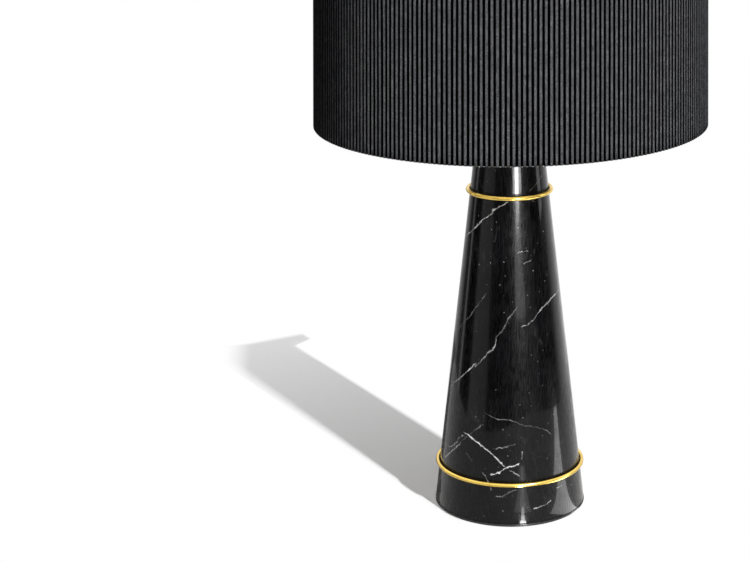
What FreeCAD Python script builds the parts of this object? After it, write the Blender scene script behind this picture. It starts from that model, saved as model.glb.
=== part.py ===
# Column table lamp: a black marble cone ringed twice in brass, on a thin black foot, under a
# pleated black drum shade. The shade hangs on a harp and is held down by a finial.
# Millimetres, +Z up. The origin is the middle of the foot, on the table. The front is -Y.

import FreeCAD
import Part
import math
import os

V = FreeCAD.Vector
UP = V(0, 0, 1)
AXIS = V(0, 0, 0)

# Clearances: curved pieces of one body, a turning or sliding fit, and two bodies face to face
SEAT_GAP = 0.03
RUNNING_GAP = 0.08
FACE_GAP = 0.2

# The stone column, one straight cone from foot to top
COLUMN_TABLE_RADIUS = 79.6
COLUMN_TAPER = 0.1141
COLUMN_FOOT_Z = 3.0
COLUMN_TOP_Z = 420.0
COLUMN_BEVEL = 0.8
COLUMN_BORE_RADIUS = 6.0
RECESS_RADIUS = 28.0
RECESS_TOP_Z = 29.0

# The foot: a steel disc with a felt pad under it
FELT_RADIUS = 78.4
FELT_THICKNESS = 1.0
FOOT_RADIUS = 79.6
FOOT_BEVEL = 0.4

# The two brass rings of round wire that hug the cone
RING_WIRE_RADIUS = 2.2
LOWER_RING_Z = 45.8
UPPER_RING_Z = 343.2

# The flanged bush at the back where a cord leaves
BUSH_Z = 14.0
BUSH_FACE_Y = 78.2
BUSH_FLANGE_RADIUS = 8.0
BUSH_FLANGE_THICKNESS = 2.0
BUSH_RADIUS = 4.5
BUSH_BORE_RADIUS = 3.5
BUSH_LENGTH = 14.0

# The hollow threaded rod that clamps everything to the column, with its washer and nut
ROD_RADIUS = 4.9
ROD_BORE_RADIUS = 3.5
ROD_BOTTOM_Z = 16.0
ROD_HOLE_RADIUS = 5.0
WASHER_RADIUS = 20.0
WASHER_THICKNESS = 3.0
NUT_THICKNESS = 6.0
NUT_ACROSS_FLATS = 15.0

# The brass cap on the column and the spool-shaped neck on the cap
CAP_RADIUS = 27.0
CAP_HEIGHT = 8.0
CAP_RIM_HEIGHT = 2.0
NECK_RADIUS = 9.0
NECK_WAIST_RADIUS = 6.8
NECK_HEIGHT = 10.0

# The harp saddle: a strap bent up at both ends, each end with a narrow tongue
SADDLE_THICKNESS = 1.6
SADDLE_WIDTH = 12.0
SADDLE_BEND_RADIUS = 3.0
SADDLE_SHOULDER_RISE = 15.6
TONGUE_WIDTH = 2.8
TONGUE_LENGTH = 6.0

# The harp: one bent wire, its legs on the saddle's tongues
HARP_WIRE_RADIUS = 1.6
HARP_LEG_X = 30.0
HARP_STRAIGHT_LEG = 23.0
HARP_BEND_RADIUS = 60.0
HARP_SPLAY_DEG = 16.0
HARP_TOP_Z = 655.4
SLEEVE_RADIUS = 2.7
SLEEVE_LENGTH = 13.0

# The boss on the harp's top and the stud that the shade and the finial sit on
BOSS_RADIUS = 5.5
BOSS_BELOW = 3.4
BOSS_ABOVE = 3.6
STUD_RADIUS = 3.1
STUD_LENGTH = 14.5

# The lampholder, from its bottom cap to the mouth of its shell
HOLDER_CAP_HEIGHT = 21.4
HOLDER_COLLAR_RADIUS = 8.5
HOLDER_COLLAR_HEIGHT = 6.4
HOLDER_CAP_RADIUS = 17.3
HOLDER_WALL = 0.6
SHELL_RADIUS = 16.6
SHELL_LENGTH = 50.0
SHELL_OVERLAP = 7.0
BEAD_RISE = 0.7
LINER_RADIUS = 15.9
LINER_WALL = 0.7
CORE_RADIUS = 14.6
CORE_HEIGHT = 30.0
CORE_NOTCH_X = 11.0
SCREW_SHELL_RADIUS = 13.9
SCREW_SHELL_WALL = 0.45
SCREW_SHELL_HEIGHT = 23.0
CONTACT_HALF_LENGTH = 4.4
CONTACT_RISE = 4.1
CONTACT_WIDTH = 4.0
CONTACT_THICKNESS = 0.5
TERMINAL_HEAD_RADIUS = 3.0
TERMINAL_HEAD_HEIGHT = 2.0
TERMINAL_SHANK_RADIUS = 1.6
TERMINAL_SHANK_LENGTH = 6.0
SET_SCREW_RADIUS = 1.5

# The rotary switch: a stem out of the lampholder's front with a fluted knob
SWITCH_STEM_RADIUS = 2.0
SWITCH_STEM_REACH = 36.0
SWITCH_SLOT_RADIUS = 2.6
KNOB_RADIUS = 5.5
KNOB_LENGTH = 15.0
KNOB_FLUTES = 14
KNOB_FLUTE_RADIUS = 0.7

# The bulb: a pear-shaped glass in a screw cap
BULB_RADIUS = 30.0
BULB_LENGTH = 106.0
BULB_WALL = 1.0
BULB_NECK_RADIUS = 12.5
BULB_SHOULDER_DEG = 42.8
BULB_CAP_RADIUS = 13.0
BULB_CAP_TOP = 26.0
BULB_CAP_WALL = 0.4
BULB_NECK_DEPTH = 9.0
BULB_TIP_RADIUS = 4.5

# The shade: a pleated drum that narrows a little upwards
SHADE_BOTTOM_Z = 414.0
SHADE_HEIGHT = 270.0
SHADE_BOTTOM_RADIUS = 200.0
SHADE_TOP_RADIUS = 192.7
PLEAT_COUNT = 250
PLEAT_DEPTH = 2.0
PLEAT_SHOULDER = 0.55
COVER_THICKNESS = 3.2
LINING_THICKNESS = 0.6
SHADE_WIRE_RADIUS = 2.0

# The spider that carries the shade: a hub washer and three arms of bent wire
SPIDER_ARMS = 3
SPIDER_WIRE_RADIUS = 1.8
SPIDER_BEND_RADIUS = 8.0
SPIDER_DROP_START = 46.0
SPIDER_DROP_END = 26.0
HUB_RADIUS = 14.0
HUB_HOLE_RADIUS = 3.5
HUB_THICKNESS = 2.0

# The finial: a foot, a waist and a ball
FINIAL_FOOT_RADIUS = 8.0
FINIAL_FOOT_HEIGHT = 2.0
FINIAL_WAIST_RADIUS = 4.4
FINIAL_NECK_RADIUS = 5.2
FINIAL_NECK_HEIGHT = 9.0
FINIAL_BALL_RADIUS = 8.6
FINIAL_BORE_DEPTH = 13.5

# Heights that follow from the sizes above
CAP_TOP_Z = COLUMN_TOP_Z + CAP_HEIGHT
NECK_TOP_Z = CAP_TOP_Z + NECK_HEIGHT
HOLDER_Z = NECK_TOP_Z + SADDLE_THICKNESS
HOLDER_CAP_TOP_Z = HOLDER_Z + HOLDER_CAP_HEIGHT
SHELL_Z = HOLDER_CAP_TOP_Z - SHELL_OVERLAP
SHELL_TOP_Z = SHELL_Z + SHELL_LENGTH
CORE_Z = HOLDER_Z + 9.9
CORE_TOP_Z = CORE_Z + CORE_HEIGHT
SWITCH_Z = CORE_Z + 21.0
TERMINAL_Z = CORE_Z + 7.5
BULB_Z = CORE_TOP_Z + CONTACT_RISE + FACE_GAP
SHOULDER_Z = NECK_TOP_Z + SADDLE_SHOULDER_RISE
TONGUE_TOP_Z = SHOULDER_Z + TONGUE_LENGTH
BOSS_TOP_Z = HARP_TOP_Z + BOSS_ABOVE
HUB_Z = BOSS_TOP_Z + FACE_GAP
FINIAL_Z = HUB_Z + HUB_THICKNESS + FACE_GAP
SHADE_TAPER = (SHADE_BOTTOM_RADIUS - SHADE_TOP_RADIUS) / SHADE_HEIGHT


def column_radius(z):
    """Radius of the stone cone at a height."""
    return COLUMN_TABLE_RADIUS - COLUMN_TAPER * z


def lining_radius(z):
    """Inner radius of the shade's lining at a height."""
    bottom = SHADE_BOTTOM_RADIUS - COVER_THICKNESS - LINING_THICKNESS
    return bottom - SHADE_TAPER * (z - SHADE_BOTTOM_Z)


def outline_edges(start, steps):
    """Edges in the XZ plane from start. A step is the next (x, z), or a pair (via, end) for an arc."""
    edges = []
    here = V(start[0], 0, start[1])
    for step in steps:
        if isinstance(step[0], tuple):
            via = V(step[0][0], 0, step[0][1])
            end = V(step[1][0], 0, step[1][1])
            edges.append(Part.Arc(here, via, end).toShape())
        else:
            end = V(step[0], 0, step[1])
            edges.append(Part.makeLine(here, end))
        here = end
    return edges


def flat_shape(start, *steps):
    """A face in the XZ plane with that outline, closed by a line where its last step is not at the start."""
    last = steps[-1][1] if isinstance(steps[-1][0], tuple) else steps[-1]
    closing = () if last == start else (start,)
    return Part.Face(Part.Wire(outline_edges(start, steps + closing)))


def turned(start, *steps):
    """A solid turned about the Z axis from a closed outline of (radius, z) points."""
    return flat_shape(start, *steps).revolve(AXIS, UP, 360)


def disc(radius, bottom_z, thickness, hole_radius=0.0):
    """A flat round plate, or a washer where it has a hole."""
    plate = Part.makeCylinder(radius, thickness, V(0, 0, bottom_z))
    if hole_radius:
        plate = plate.cut(Part.makeCylinder(hole_radius, thickness, V(0, 0, bottom_z)))
    return plate


def wire_ring(radius, wire_radius, z):
    """A closed ring of round wire about the Z axis."""
    return Part.makeTorus(radius, wire_radius, V(0, 0, z))


def swept_rod(edges, start, direction, radius):
    """A round rod along tangent lines and arcs."""
    section = Part.Wire(Part.makeCircle(radius, start, direction))
    return Part.Wire(edges).makePipeShell([section], True, False)


def bent_path(points, bend_radius):
    """Lines through the points, each corner rounded by a tangent arc."""
    edges = []
    here = points[0]
    for before, corner, after in zip(points, points[1:], points[2:]):
        inward = (before - corner).normalize()
        outward = (after - corner).normalize()
        half_angle = inward.getAngle(outward) / 2
        reach = bend_radius / math.tan(half_angle)
        middle = (inward + outward).normalize()
        to_arc = bend_radius / math.sin(half_angle) - bend_radius
        entry = corner + inward * reach
        leave = corner + outward * reach
        edges.append(Part.makeLine(here, entry))
        edges.append(Part.Arc(entry, corner + middle * to_arc, leave).toShape())
        here = leave
    edges.append(Part.makeLine(here, points[-1]))
    return edges


def cylinder_y(radius, start_y, end_y, z):
    """A round bar along Y between two places."""
    return Part.makeCylinder(radius, end_y - start_y, V(0, start_y, z), V(0, 1, 0))


# Base

def felt_pad():
    """The felt that the lamp rests on."""
    return disc(FELT_RADIUS, 0, FELT_THICKNESS)


def foot_plate():
    """The black steel disc that closes the column's recess, bevelled at its rim."""
    return turned(
        (0, FELT_THICKNESS),
        (FOOT_RADIUS - FOOT_BEVEL, FELT_THICKNESS),
        (FOOT_RADIUS, FELT_THICKNESS + FOOT_BEVEL),
        (FOOT_RADIUS, COLUMN_FOOT_Z),
        (0, COLUMN_FOOT_Z),
    )


def marble_column():
    """The stone cone, bevelled at both ends, with its bore, recess, cord hole and bush seat."""
    bottom_radius = column_radius(COLUMN_FOOT_Z + COLUMN_BEVEL)
    top_radius = column_radius(COLUMN_TOP_Z - COLUMN_BEVEL)
    cone = turned(
        (COLUMN_BORE_RADIUS, RECESS_TOP_Z),
        (RECESS_RADIUS, RECESS_TOP_Z),
        (RECESS_RADIUS, COLUMN_FOOT_Z),
        (bottom_radius - COLUMN_BEVEL, COLUMN_FOOT_Z),
        (bottom_radius, COLUMN_FOOT_Z + COLUMN_BEVEL),
        (top_radius, COLUMN_TOP_Z - COLUMN_BEVEL),
        (top_radius - COLUMN_BEVEL, COLUMN_TOP_Z),
        (COLUMN_BORE_RADIUS, COLUMN_TOP_Z),
    )
    seat_y = BUSH_FACE_Y - BUSH_FLANGE_THICKNESS
    outside_y = COLUMN_TABLE_RADIUS + 1
    cord_hole = cylinder_y(BUSH_RADIUS, RECESS_RADIUS - 4, outside_y, BUSH_Z)
    flange_seat = cylinder_y(BUSH_FLANGE_RADIUS + SEAT_GAP, seat_y, outside_y, BUSH_Z)
    return cone.cut(cord_hole).cut(flange_seat)


def cord_bush():
    """The flanged bush in the back of the column, its mouth rounded for a cord."""
    seat_y = BUSH_FACE_Y - BUSH_FLANGE_THICKNESS
    flange = cylinder_y(BUSH_FLANGE_RADIUS, seat_y, BUSH_FACE_Y, BUSH_Z)
    body = cylinder_y(BUSH_RADIUS - SEAT_GAP, seat_y - BUSH_LENGTH, seat_y, BUSH_Z)
    bore = cylinder_y(BUSH_BORE_RADIUS, seat_y - BUSH_LENGTH, BUSH_FACE_Y, BUSH_Z)
    bush = flange.fuse(body).removeSplitter().cut(bore)
    mouth = [
        edge
        for edge in bush.Edges
        if edge.BoundBox.YMin > BUSH_FACE_Y - 0.01 and edge.BoundBox.ZLength < 3 * BUSH_BORE_RADIUS
    ]
    return bush.makeFillet(0.8, mouth)


def hugging_ring(z):
    """A brass wire ring that lies against the cone at a height."""
    slant = math.cos(math.atan(COLUMN_TAPER))
    centre_radius = column_radius(z) + (RING_WIRE_RADIUS + SEAT_GAP) / slant
    return wire_ring(centre_radius, RING_WIRE_RADIUS, z)


def lower_ring():
    """The ring near the foot."""
    return hugging_ring(LOWER_RING_Z)


def upper_ring():
    """The ring below the shade."""
    return hugging_ring(UPPER_RING_Z)


def threaded_rod():
    """The hollow rod from the recess up into the lampholder."""
    top_z = HOLDER_Z + HOLDER_COLLAR_HEIGHT
    rod = Part.makeCylinder(ROD_RADIUS, top_z - ROD_BOTTOM_Z, V(0, 0, ROD_BOTTOM_Z))
    return rod.cut(Part.makeCylinder(ROD_BORE_RADIUS, top_z, AXIS))


def rod_washer():
    """The wide washer against the recess's top."""
    return disc(WASHER_RADIUS, RECESS_TOP_Z - WASHER_THICKNESS, WASHER_THICKNESS, ROD_HOLE_RADIUS)


def rod_nut():
    """The hexagon nut under the washer."""
    bottom_z = RECESS_TOP_Z - WASHER_THICKNESS - NUT_THICKNESS
    corner_radius = NUT_ACROSS_FLATS / 2 / math.cos(math.pi / 6)
    corners = [
        V(corner_radius * math.cos(i * math.pi / 3), corner_radius * math.sin(i * math.pi / 3), bottom_z)
        for i in range(7)
    ]
    prism = Part.Face(Part.makePolygon(corners)).extrude(V(0, 0, NUT_THICKNESS))
    return prism.cut(Part.makeCylinder(ROD_RADIUS + SEAT_GAP, NUT_THICKNESS, V(0, 0, bottom_z)))


# Fittings between the column and the shade

def column_cap():
    """The domed brass cap on the column's top."""
    rim_z = COLUMN_TOP_Z + CAP_RIM_HEIGHT
    return turned(
        (ROD_HOLE_RADIUS, COLUMN_TOP_Z),
        (CAP_RADIUS, COLUMN_TOP_Z),
        (CAP_RADIUS, rim_z),
        ((CAP_RADIUS * 0.66, rim_z + 4.0), (NECK_RADIUS + 1, CAP_TOP_Z - 0.6)),
        (NECK_RADIUS + 1, CAP_TOP_Z),
        (ROD_HOLE_RADIUS, CAP_TOP_Z),
    )


def neck_spool():
    """The waisted brass spool between the cap and the harp saddle."""
    middle_z = (CAP_TOP_Z + NECK_TOP_Z) / 2
    return turned(
        (ROD_HOLE_RADIUS, CAP_TOP_Z),
        (NECK_RADIUS, CAP_TOP_Z),
        (NECK_RADIUS, CAP_TOP_Z + 1),
        ((NECK_WAIST_RADIUS, middle_z), (NECK_RADIUS, NECK_TOP_Z - 1)),
        (NECK_RADIUS, NECK_TOP_Z),
        (ROD_HOLE_RADIUS, NECK_TOP_Z),
    )


def harp_saddle():
    """The strap under the lampholder: its side outline crossed with its end outline, then bored."""
    outside = HARP_LEG_X + SADDLE_THICKNESS / 2
    inside = HARP_LEG_X - SADDLE_THICKNESS / 2
    bend = SADDLE_BEND_RADIUS
    inner_bend = bend - SADDLE_THICKNESS
    floor_z = NECK_TOP_Z + SADDLE_THICKNESS
    corner = bend * (1 - math.cos(math.pi / 4))
    inner_corner = inner_bend * (1 - math.cos(math.pi / 4))
    side = flat_shape(
        (-outside + bend, NECK_TOP_Z),
        (outside - bend, NECK_TOP_Z),
        ((outside - corner, NECK_TOP_Z + corner), (outside, NECK_TOP_Z + bend)),
        (outside, TONGUE_TOP_Z),
        (inside, TONGUE_TOP_Z),
        (inside, floor_z + inner_bend),
        ((inside - inner_corner, floor_z + inner_corner), (inside - inner_bend, floor_z)),
        (-inside + inner_bend, floor_z),
        ((-inside + inner_corner, floor_z + inner_corner), (-inside, floor_z + inner_bend)),
        (-inside, TONGUE_TOP_Z),
        (-outside, TONGUE_TOP_Z),
        (-outside, NECK_TOP_Z + bend),
        ((-outside + corner, NECK_TOP_Z + corner), (-outside + bend, NECK_TOP_Z)),
    )
    strap = side.extrude(V(0, SADDLE_WIDTH, 0)).translated(V(0, -SADDLE_WIDTH / 2, 0))
    half = SADDLE_WIDTH / 2
    tongue = TONGUE_WIDTH / 2
    end = [
        V(0, -half, NECK_TOP_Z),
        V(0, half, NECK_TOP_Z),
        V(0, half, SHOULDER_Z - 5),
        V(0, tongue, SHOULDER_Z),
        V(0, tongue, TONGUE_TOP_Z),
        V(0, -tongue, TONGUE_TOP_Z),
        V(0, -tongue, SHOULDER_Z),
        V(0, -half, SHOULDER_Z - 5),
    ]
    gauge = Part.Face(Part.makePolygon(end + end[:1])).extrude(V(2 * outside, 0, 0))
    saddle = strap.common(gauge.translated(V(-outside, 0, 0)))
    return saddle.cut(Part.makeCylinder(ROD_HOLE_RADIUS, 5, V(0, 0, NECK_TOP_Z - 1)))


def harp():
    """The harp's wire: straight legs that splay out, then close in one arch."""
    splay = math.radians(HARP_SPLAY_DEG)
    sine = math.sin(splay)
    cosine = math.cos(splay)
    bend_z = TONGUE_TOP_Z + HARP_STRAIGHT_LEG
    # the arch's radius is its start's x over the cosine, which fixes the length of the slanted run
    run_x = HARP_LEG_X + HARP_BEND_RADIUS * (1 - cosine)
    run_z = bend_z + HARP_BEND_RADIUS * sine
    arch_share = (1 + sine) / cosine
    run = (HARP_TOP_Z - run_z - arch_share * run_x) / (cosine + arch_share * sine)
    arch_x = run_x + run * sine
    arch_z = run_z + run * cosine
    arch_radius = arch_x / cosine
    arch_centre_z = HARP_TOP_Z - arch_radius
    half_x = HARP_BEND_RADIUS * (1 - math.cos(splay / 2))
    half_z = HARP_BEND_RADIUS * math.sin(splay / 2)
    diagonal = arch_radius * math.sin(math.pi / 4)
    path = outline_edges(
        (HARP_LEG_X, TONGUE_TOP_Z),
        (
            (HARP_LEG_X, bend_z),
            ((HARP_LEG_X + half_x, bend_z + half_z), (run_x, run_z)),
            (arch_x, arch_z),
            ((diagonal, arch_centre_z + diagonal), (0, HARP_TOP_Z)),
            ((-diagonal, arch_centre_z + diagonal), (-arch_x, arch_z)),
            (-run_x, run_z),
            ((-HARP_LEG_X - half_x, bend_z + half_z), (-HARP_LEG_X, bend_z)),
            (-HARP_LEG_X, TONGUE_TOP_Z),
        ),
    )
    return swept_rod(path, V(HARP_LEG_X, 0, TONGUE_TOP_Z), UP, HARP_WIRE_RADIUS)


def harp_stud():
    """The boss clasped on the harp's top, with the threaded stud that it carries."""
    boss = disc(BOSS_RADIUS, HARP_TOP_Z - BOSS_BELOW, BOSS_BELOW + BOSS_ABOVE)
    stud = Part.makeCylinder(STUD_RADIUS, STUD_LENGTH, V(0, 0, BOSS_TOP_Z))
    return boss.cut(harp()).fuse(stud)


def harp_sleeve(side):
    """The sleeve that locks one leg of the harp on its tongue."""
    bottom_z = SHOULDER_Z + FACE_GAP
    sleeve = disc(SLEEVE_RADIUS, bottom_z, SLEEVE_LENGTH, HARP_WIRE_RADIUS + RUNNING_GAP)
    return sleeve.translated(V(side * HARP_LEG_X, 0, 0))


def harp_sleeve_left():
    """The sleeve on the leg at -X."""
    return harp_sleeve(-1)


def harp_sleeve_right():
    """The sleeve on the leg at +X."""
    return harp_sleeve(1)


# Lampholder and switch

def lampholder_cap():
    """The brass cup at the lampholder's bottom, with the collar that screws on the rod."""
    collar_z = HOLDER_Z + HOLDER_COLLAR_HEIGHT
    wall = HOLDER_WALL
    cup = turned(
        (ROD_HOLE_RADIUS, HOLDER_Z),
        (HOLDER_COLLAR_RADIUS, HOLDER_Z),
        (HOLDER_COLLAR_RADIUS, collar_z),
        ((HOLDER_CAP_RADIUS - 3.1, collar_z + 1.6), (HOLDER_CAP_RADIUS, collar_z + 7)),
        (HOLDER_CAP_RADIUS, HOLDER_CAP_TOP_Z),
        (HOLDER_CAP_RADIUS - wall, HOLDER_CAP_TOP_Z),
        (HOLDER_CAP_RADIUS - wall, collar_z + 7.2),
        ((HOLDER_CAP_RADIUS - 3.5, collar_z + 2.3), (HOLDER_COLLAR_RADIUS - 0.5, collar_z + wall)),
        (ROD_HOLE_RADIUS, collar_z + wall),
    )
    return cup.cut(cylinder_y(SET_SCREW_RADIUS, 0, HOLDER_COLLAR_RADIUS + 1, HOLDER_Z + 3.2))


def cap_set_screw():
    """The slotted grub screw in the collar."""
    screw = cylinder_y(SET_SCREW_RADIUS - SEAT_GAP, ROD_HOLE_RADIUS, HOLDER_COLLAR_RADIUS + 0.6, HOLDER_Z + 3.2)
    slot = Part.makeBox(4, 1, 0.6, V(-2, HOLDER_COLLAR_RADIUS, HOLDER_Z + 2.9))
    return screw.cut(slot)


def stem_slot(z_from):
    """The round-ended slot at the front that the switch stem passes."""
    end = cylinder_y(SWITCH_SLOT_RADIUS, -HOLDER_CAP_RADIUS - 2, 0, SWITCH_Z)
    width = 2 * SWITCH_SLOT_RADIUS
    run = Part.makeBox(width, HOLDER_CAP_RADIUS + 2, SWITCH_Z - z_from)
    return end.fuse(run.translated(V(-SWITCH_SLOT_RADIUS, -HOLDER_CAP_RADIUS - 2, z_from)))


def lampholder_shell():
    """The brass shell, with a rolled bead above the cap and one at its mouth."""
    inner = SHELL_RADIUS - HOLDER_WALL
    beaded = SHELL_RADIUS + BEAD_RISE
    low_bead = HOLDER_CAP_TOP_Z + 3
    shell = turned(
        (inner, SHELL_Z),
        (SHELL_RADIUS, SHELL_Z),
        (SHELL_RADIUS, low_bead),
        ((beaded, low_bead + 1.5), (SHELL_RADIUS, low_bead + 3)),
        (SHELL_RADIUS, SHELL_TOP_Z - 4),
        ((beaded, SHELL_TOP_Z - 2.5), (SHELL_RADIUS, SHELL_TOP_Z - 1)),
        (SHELL_RADIUS, SHELL_TOP_Z),
        (inner, SHELL_TOP_Z),
    )
    return shell.cut(stem_slot(SHELL_Z))


def insulating_liner():
    """The fibre sleeve inside the shell."""
    height = SHELL_LENGTH - 2
    liner = disc(LINER_RADIUS, SHELL_Z + 1, height, LINER_RADIUS - LINER_WALL)
    return liner.cut(stem_slot(SHELL_Z))


def lampholder_core():
    """The moulded core: a notch on each side for a terminal, and the switch stem's bearing."""
    core = Part.makeCylinder(CORE_RADIUS, CORE_HEIGHT, V(0, 0, CORE_Z))
    notch_top = TERMINAL_Z + 6
    for side in (-1, 1):
        notch = Part.makeBox(CORE_RADIUS, 2 * CORE_RADIUS, notch_top - CORE_Z)
        notch_x = CORE_NOTCH_X if side > 0 else -CORE_NOTCH_X - CORE_RADIUS
        core = core.cut(notch.translated(V(notch_x, -CORE_RADIUS, CORE_Z)))
        start = V(side * CORE_NOTCH_X, 0, TERMINAL_Z)
        hole = Part.makeCylinder(TERMINAL_SHANK_RADIUS, TERMINAL_SHANK_LENGTH, start, V(-side, 0, 0))
        core = core.cut(hole)
    return core.cut(cylinder_y(SWITCH_STEM_RADIUS + RUNNING_GAP, -CORE_RADIUS - 1, 3, SWITCH_Z))


def screw_shell():
    """The thin brass cup that takes the bulb's cap, open in the middle for the contact."""
    inner = SCREW_SHELL_RADIUS - SCREW_SHELL_WALL
    floor_z = CORE_TOP_Z + SCREW_SHELL_WALL
    top_z = CORE_TOP_Z + SCREW_SHELL_HEIGHT
    hole = CONTACT_HALF_LENGTH + 1
    return turned(
        (hole, CORE_TOP_Z),
        (SCREW_SHELL_RADIUS, CORE_TOP_Z),
        (SCREW_SHELL_RADIUS, top_z),
        (inner, top_z),
        (inner, floor_z),
        (hole, floor_z),
    )


def centre_contact():
    """The arched spring leaf under the bulb's tip."""
    half = CONTACT_HALF_LENGTH
    rise = CONTACT_RISE
    thick = CONTACT_THICKNESS
    leaf = flat_shape(
        (-half, CORE_TOP_Z),
        (-half + thick, CORE_TOP_Z),
        ((0, CORE_TOP_Z + rise - thick), (half - thick, CORE_TOP_Z)),
        (half, CORE_TOP_Z),
        ((0, CORE_TOP_Z + rise), (-half, CORE_TOP_Z)),
    )
    return leaf.extrude(V(0, CONTACT_WIDTH, 0)).translated(V(0, -CONTACT_WIDTH / 2, 0))


def terminal_screws():
    """The two slotted terminal screws, one on each side of the core."""
    screws = []
    for side in (-1, 1):
        start = V(side * CORE_NOTCH_X, 0, TERMINAL_Z)
        head = Part.makeCylinder(TERMINAL_HEAD_RADIUS, TERMINAL_HEAD_HEIGHT, start, V(side, 0, 0))
        shank_radius = TERMINAL_SHANK_RADIUS - SEAT_GAP
        shank = Part.makeCylinder(shank_radius, TERMINAL_SHANK_LENGTH, start, V(-side, 0, 0))
        slot_x = side * (CORE_NOTCH_X + TERMINAL_HEAD_HEIGHT) - 0.7
        slot = Part.makeBox(1.4, 2 * TERMINAL_HEAD_RADIUS, 0.8)
        slot.translate(V(slot_x, -TERMINAL_HEAD_RADIUS, TERMINAL_Z - 0.4))
        screws.append(head.fuse(shank).cut(slot))
    return Part.makeCompound(screws)


def switch_stem():
    """The brass stem that the knob turns."""
    return cylinder_y(SWITCH_STEM_RADIUS, -SWITCH_STEM_REACH, 2, SWITCH_Z)


def switch_knob():
    """The fluted knob, rounded at its end, blind-bored for the stem."""
    outer_y = -SWITCH_STEM_REACH - 4
    knob = cylinder_y(KNOB_RADIUS, outer_y, outer_y + KNOB_LENGTH, SWITCH_Z)
    end_edge = [edge for edge in knob.Edges if edge.BoundBox.YMax < outer_y + 0.01]
    knob = knob.makeFillet(1.2, end_edge)
    for i in range(KNOB_FLUTES):
        angle = 2 * math.pi * i / KNOB_FLUTES
        place = V(KNOB_RADIUS * math.cos(angle), outer_y - 1, SWITCH_Z + KNOB_RADIUS * math.sin(angle))
        knob = knob.cut(Part.makeCylinder(KNOB_FLUTE_RADIUS, KNOB_LENGTH - 2, place, V(0, 1, 0)))
    return knob.cut(cylinder_y(SWITCH_STEM_RADIUS, -SWITCH_STEM_REACH, 0, SWITCH_Z))


# Bulb

def bulb_side(inset):
    """Half outline of the glass, drawn in by inset: neck, hollow shoulder, then the ball to its top."""
    ball_z = BULB_Z + BULB_LENGTH - BULB_RADIUS
    turn = math.radians(BULB_SHOULDER_DEG)
    radius = BULB_RADIUS - inset
    neck = BULB_NECK_RADIUS - inset
    meet = (radius * math.cos(turn), ball_z - radius * math.sin(turn))
    # an arc that leaves the neck upright and meets the ball in line with it
    shoulder_radius = (meet[0] - neck) / (1 - math.cos(turn))
    shoulder_z = meet[1] - shoulder_radius * math.sin(turn)
    via = (
        neck + shoulder_radius * (1 - math.cos(turn / 2)),
        shoulder_z + shoulder_radius * math.sin(turn / 2),
    )
    top = (0, ball_z + radius)
    return neck, shoulder_z, via, meet, (radius, ball_z), top


def bulb_glass():
    """The pear-shaped glass, one even wall, its open neck cemented in the cap."""
    neck, shoulder_z, via, meet, widest, top = bulb_side(0)
    in_neck, in_shoulder_z, in_via, in_meet, in_widest, in_top = bulb_side(BULB_WALL)
    neck_z = BULB_Z + BULB_CAP_TOP - BULB_NECK_DEPTH
    return turned(
        (in_neck, neck_z),
        (neck, neck_z),
        (neck, shoulder_z),
        (via, meet),
        (widest, top),
        in_top,
        (in_widest, in_meet),
        (in_via, (in_neck, in_shoulder_z)),
    )


def bulb_cap():
    """The bulb's metal screw cap, a cup that narrows to its black insulator."""
    top_z = BULB_Z + BULB_CAP_TOP
    wall = BULB_CAP_WALL
    return turned(
        (9.5 - wall, BULB_Z + 4.6),
        (9.5, BULB_Z + 4.6),
        (BULB_CAP_RADIUS, BULB_Z + 7),
        (BULB_CAP_RADIUS, top_z),
        (BULB_CAP_RADIUS - wall, top_z),
        (BULB_CAP_RADIUS - wall, BULB_Z + 7.2),
        (9.5 - wall, BULB_Z + 4.8),
    )


def bulb_insulator():
    """The black glass ring between the cap and the tip."""
    return turned(
        (0, BULB_Z + 1.2),
        (BULB_TIP_RADIUS, BULB_Z + 1.2),
        (9.0, BULB_Z + 4.6),
        (9.0, BULB_Z + 6),
        (0, BULB_Z + 6),
    )


def bulb_tip():
    """The solder contact under the bulb."""
    return turned(
        (0, BULB_Z),
        ((BULB_TIP_RADIUS * 0.7, BULB_Z + 0.35), (BULB_TIP_RADIUS, BULB_Z + 1.2)),
        (0, BULB_Z + 1.2),
    )


# Shade

def pleat_outline(radius, z):
    """The closed outline of all pleats at a height: flat-crowned ribs with a narrow slot between."""
    pitch = 2 * math.pi / PLEAT_COUNT
    scale = radius / SHADE_BOTTOM_RADIUS
    rib = (
        (0.0, PLEAT_DEPTH),
        (0.08, PLEAT_SHOULDER),
        (0.30, 0.0),
        (0.70, 0.0),
        (0.92, PLEAT_SHOULDER),
    )
    points = []
    for i in range(PLEAT_COUNT):
        for share, inset in rib:
            angle = (i + share) * pitch
            reach = radius - inset * scale
            points.append(V(reach * math.cos(angle), reach * math.sin(angle), z))
    return Part.makePolygon(points + points[:1])


def shade_drum(inset):
    """A plain solid drum of the shade's height and taper, inset from the pleats' crowns."""
    foot = V(0, 0, SHADE_BOTTOM_Z)
    return Part.makeCone(SHADE_BOTTOM_RADIUS - inset, SHADE_TOP_RADIUS - inset, SHADE_HEIGHT, foot)


def shade_cover():
    """The pleated cover: every rib lofted from the bottom edge to the narrower top edge."""
    bottom = pleat_outline(SHADE_BOTTOM_RADIUS, SHADE_BOTTOM_Z)
    top = pleat_outline(SHADE_TOP_RADIUS, SHADE_BOTTOM_Z + SHADE_HEIGHT)
    ribbed = Part.makeLoft([bottom, top], True, True)
    return ribbed.cut(shade_drum(COVER_THICKNESS))


def shade_lining():
    """The pale stiff lining that the pleats are glued to."""
    return shade_drum(COVER_THICKNESS).cut(shade_drum(COVER_THICKNESS + LINING_THICKNESS))


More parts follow.
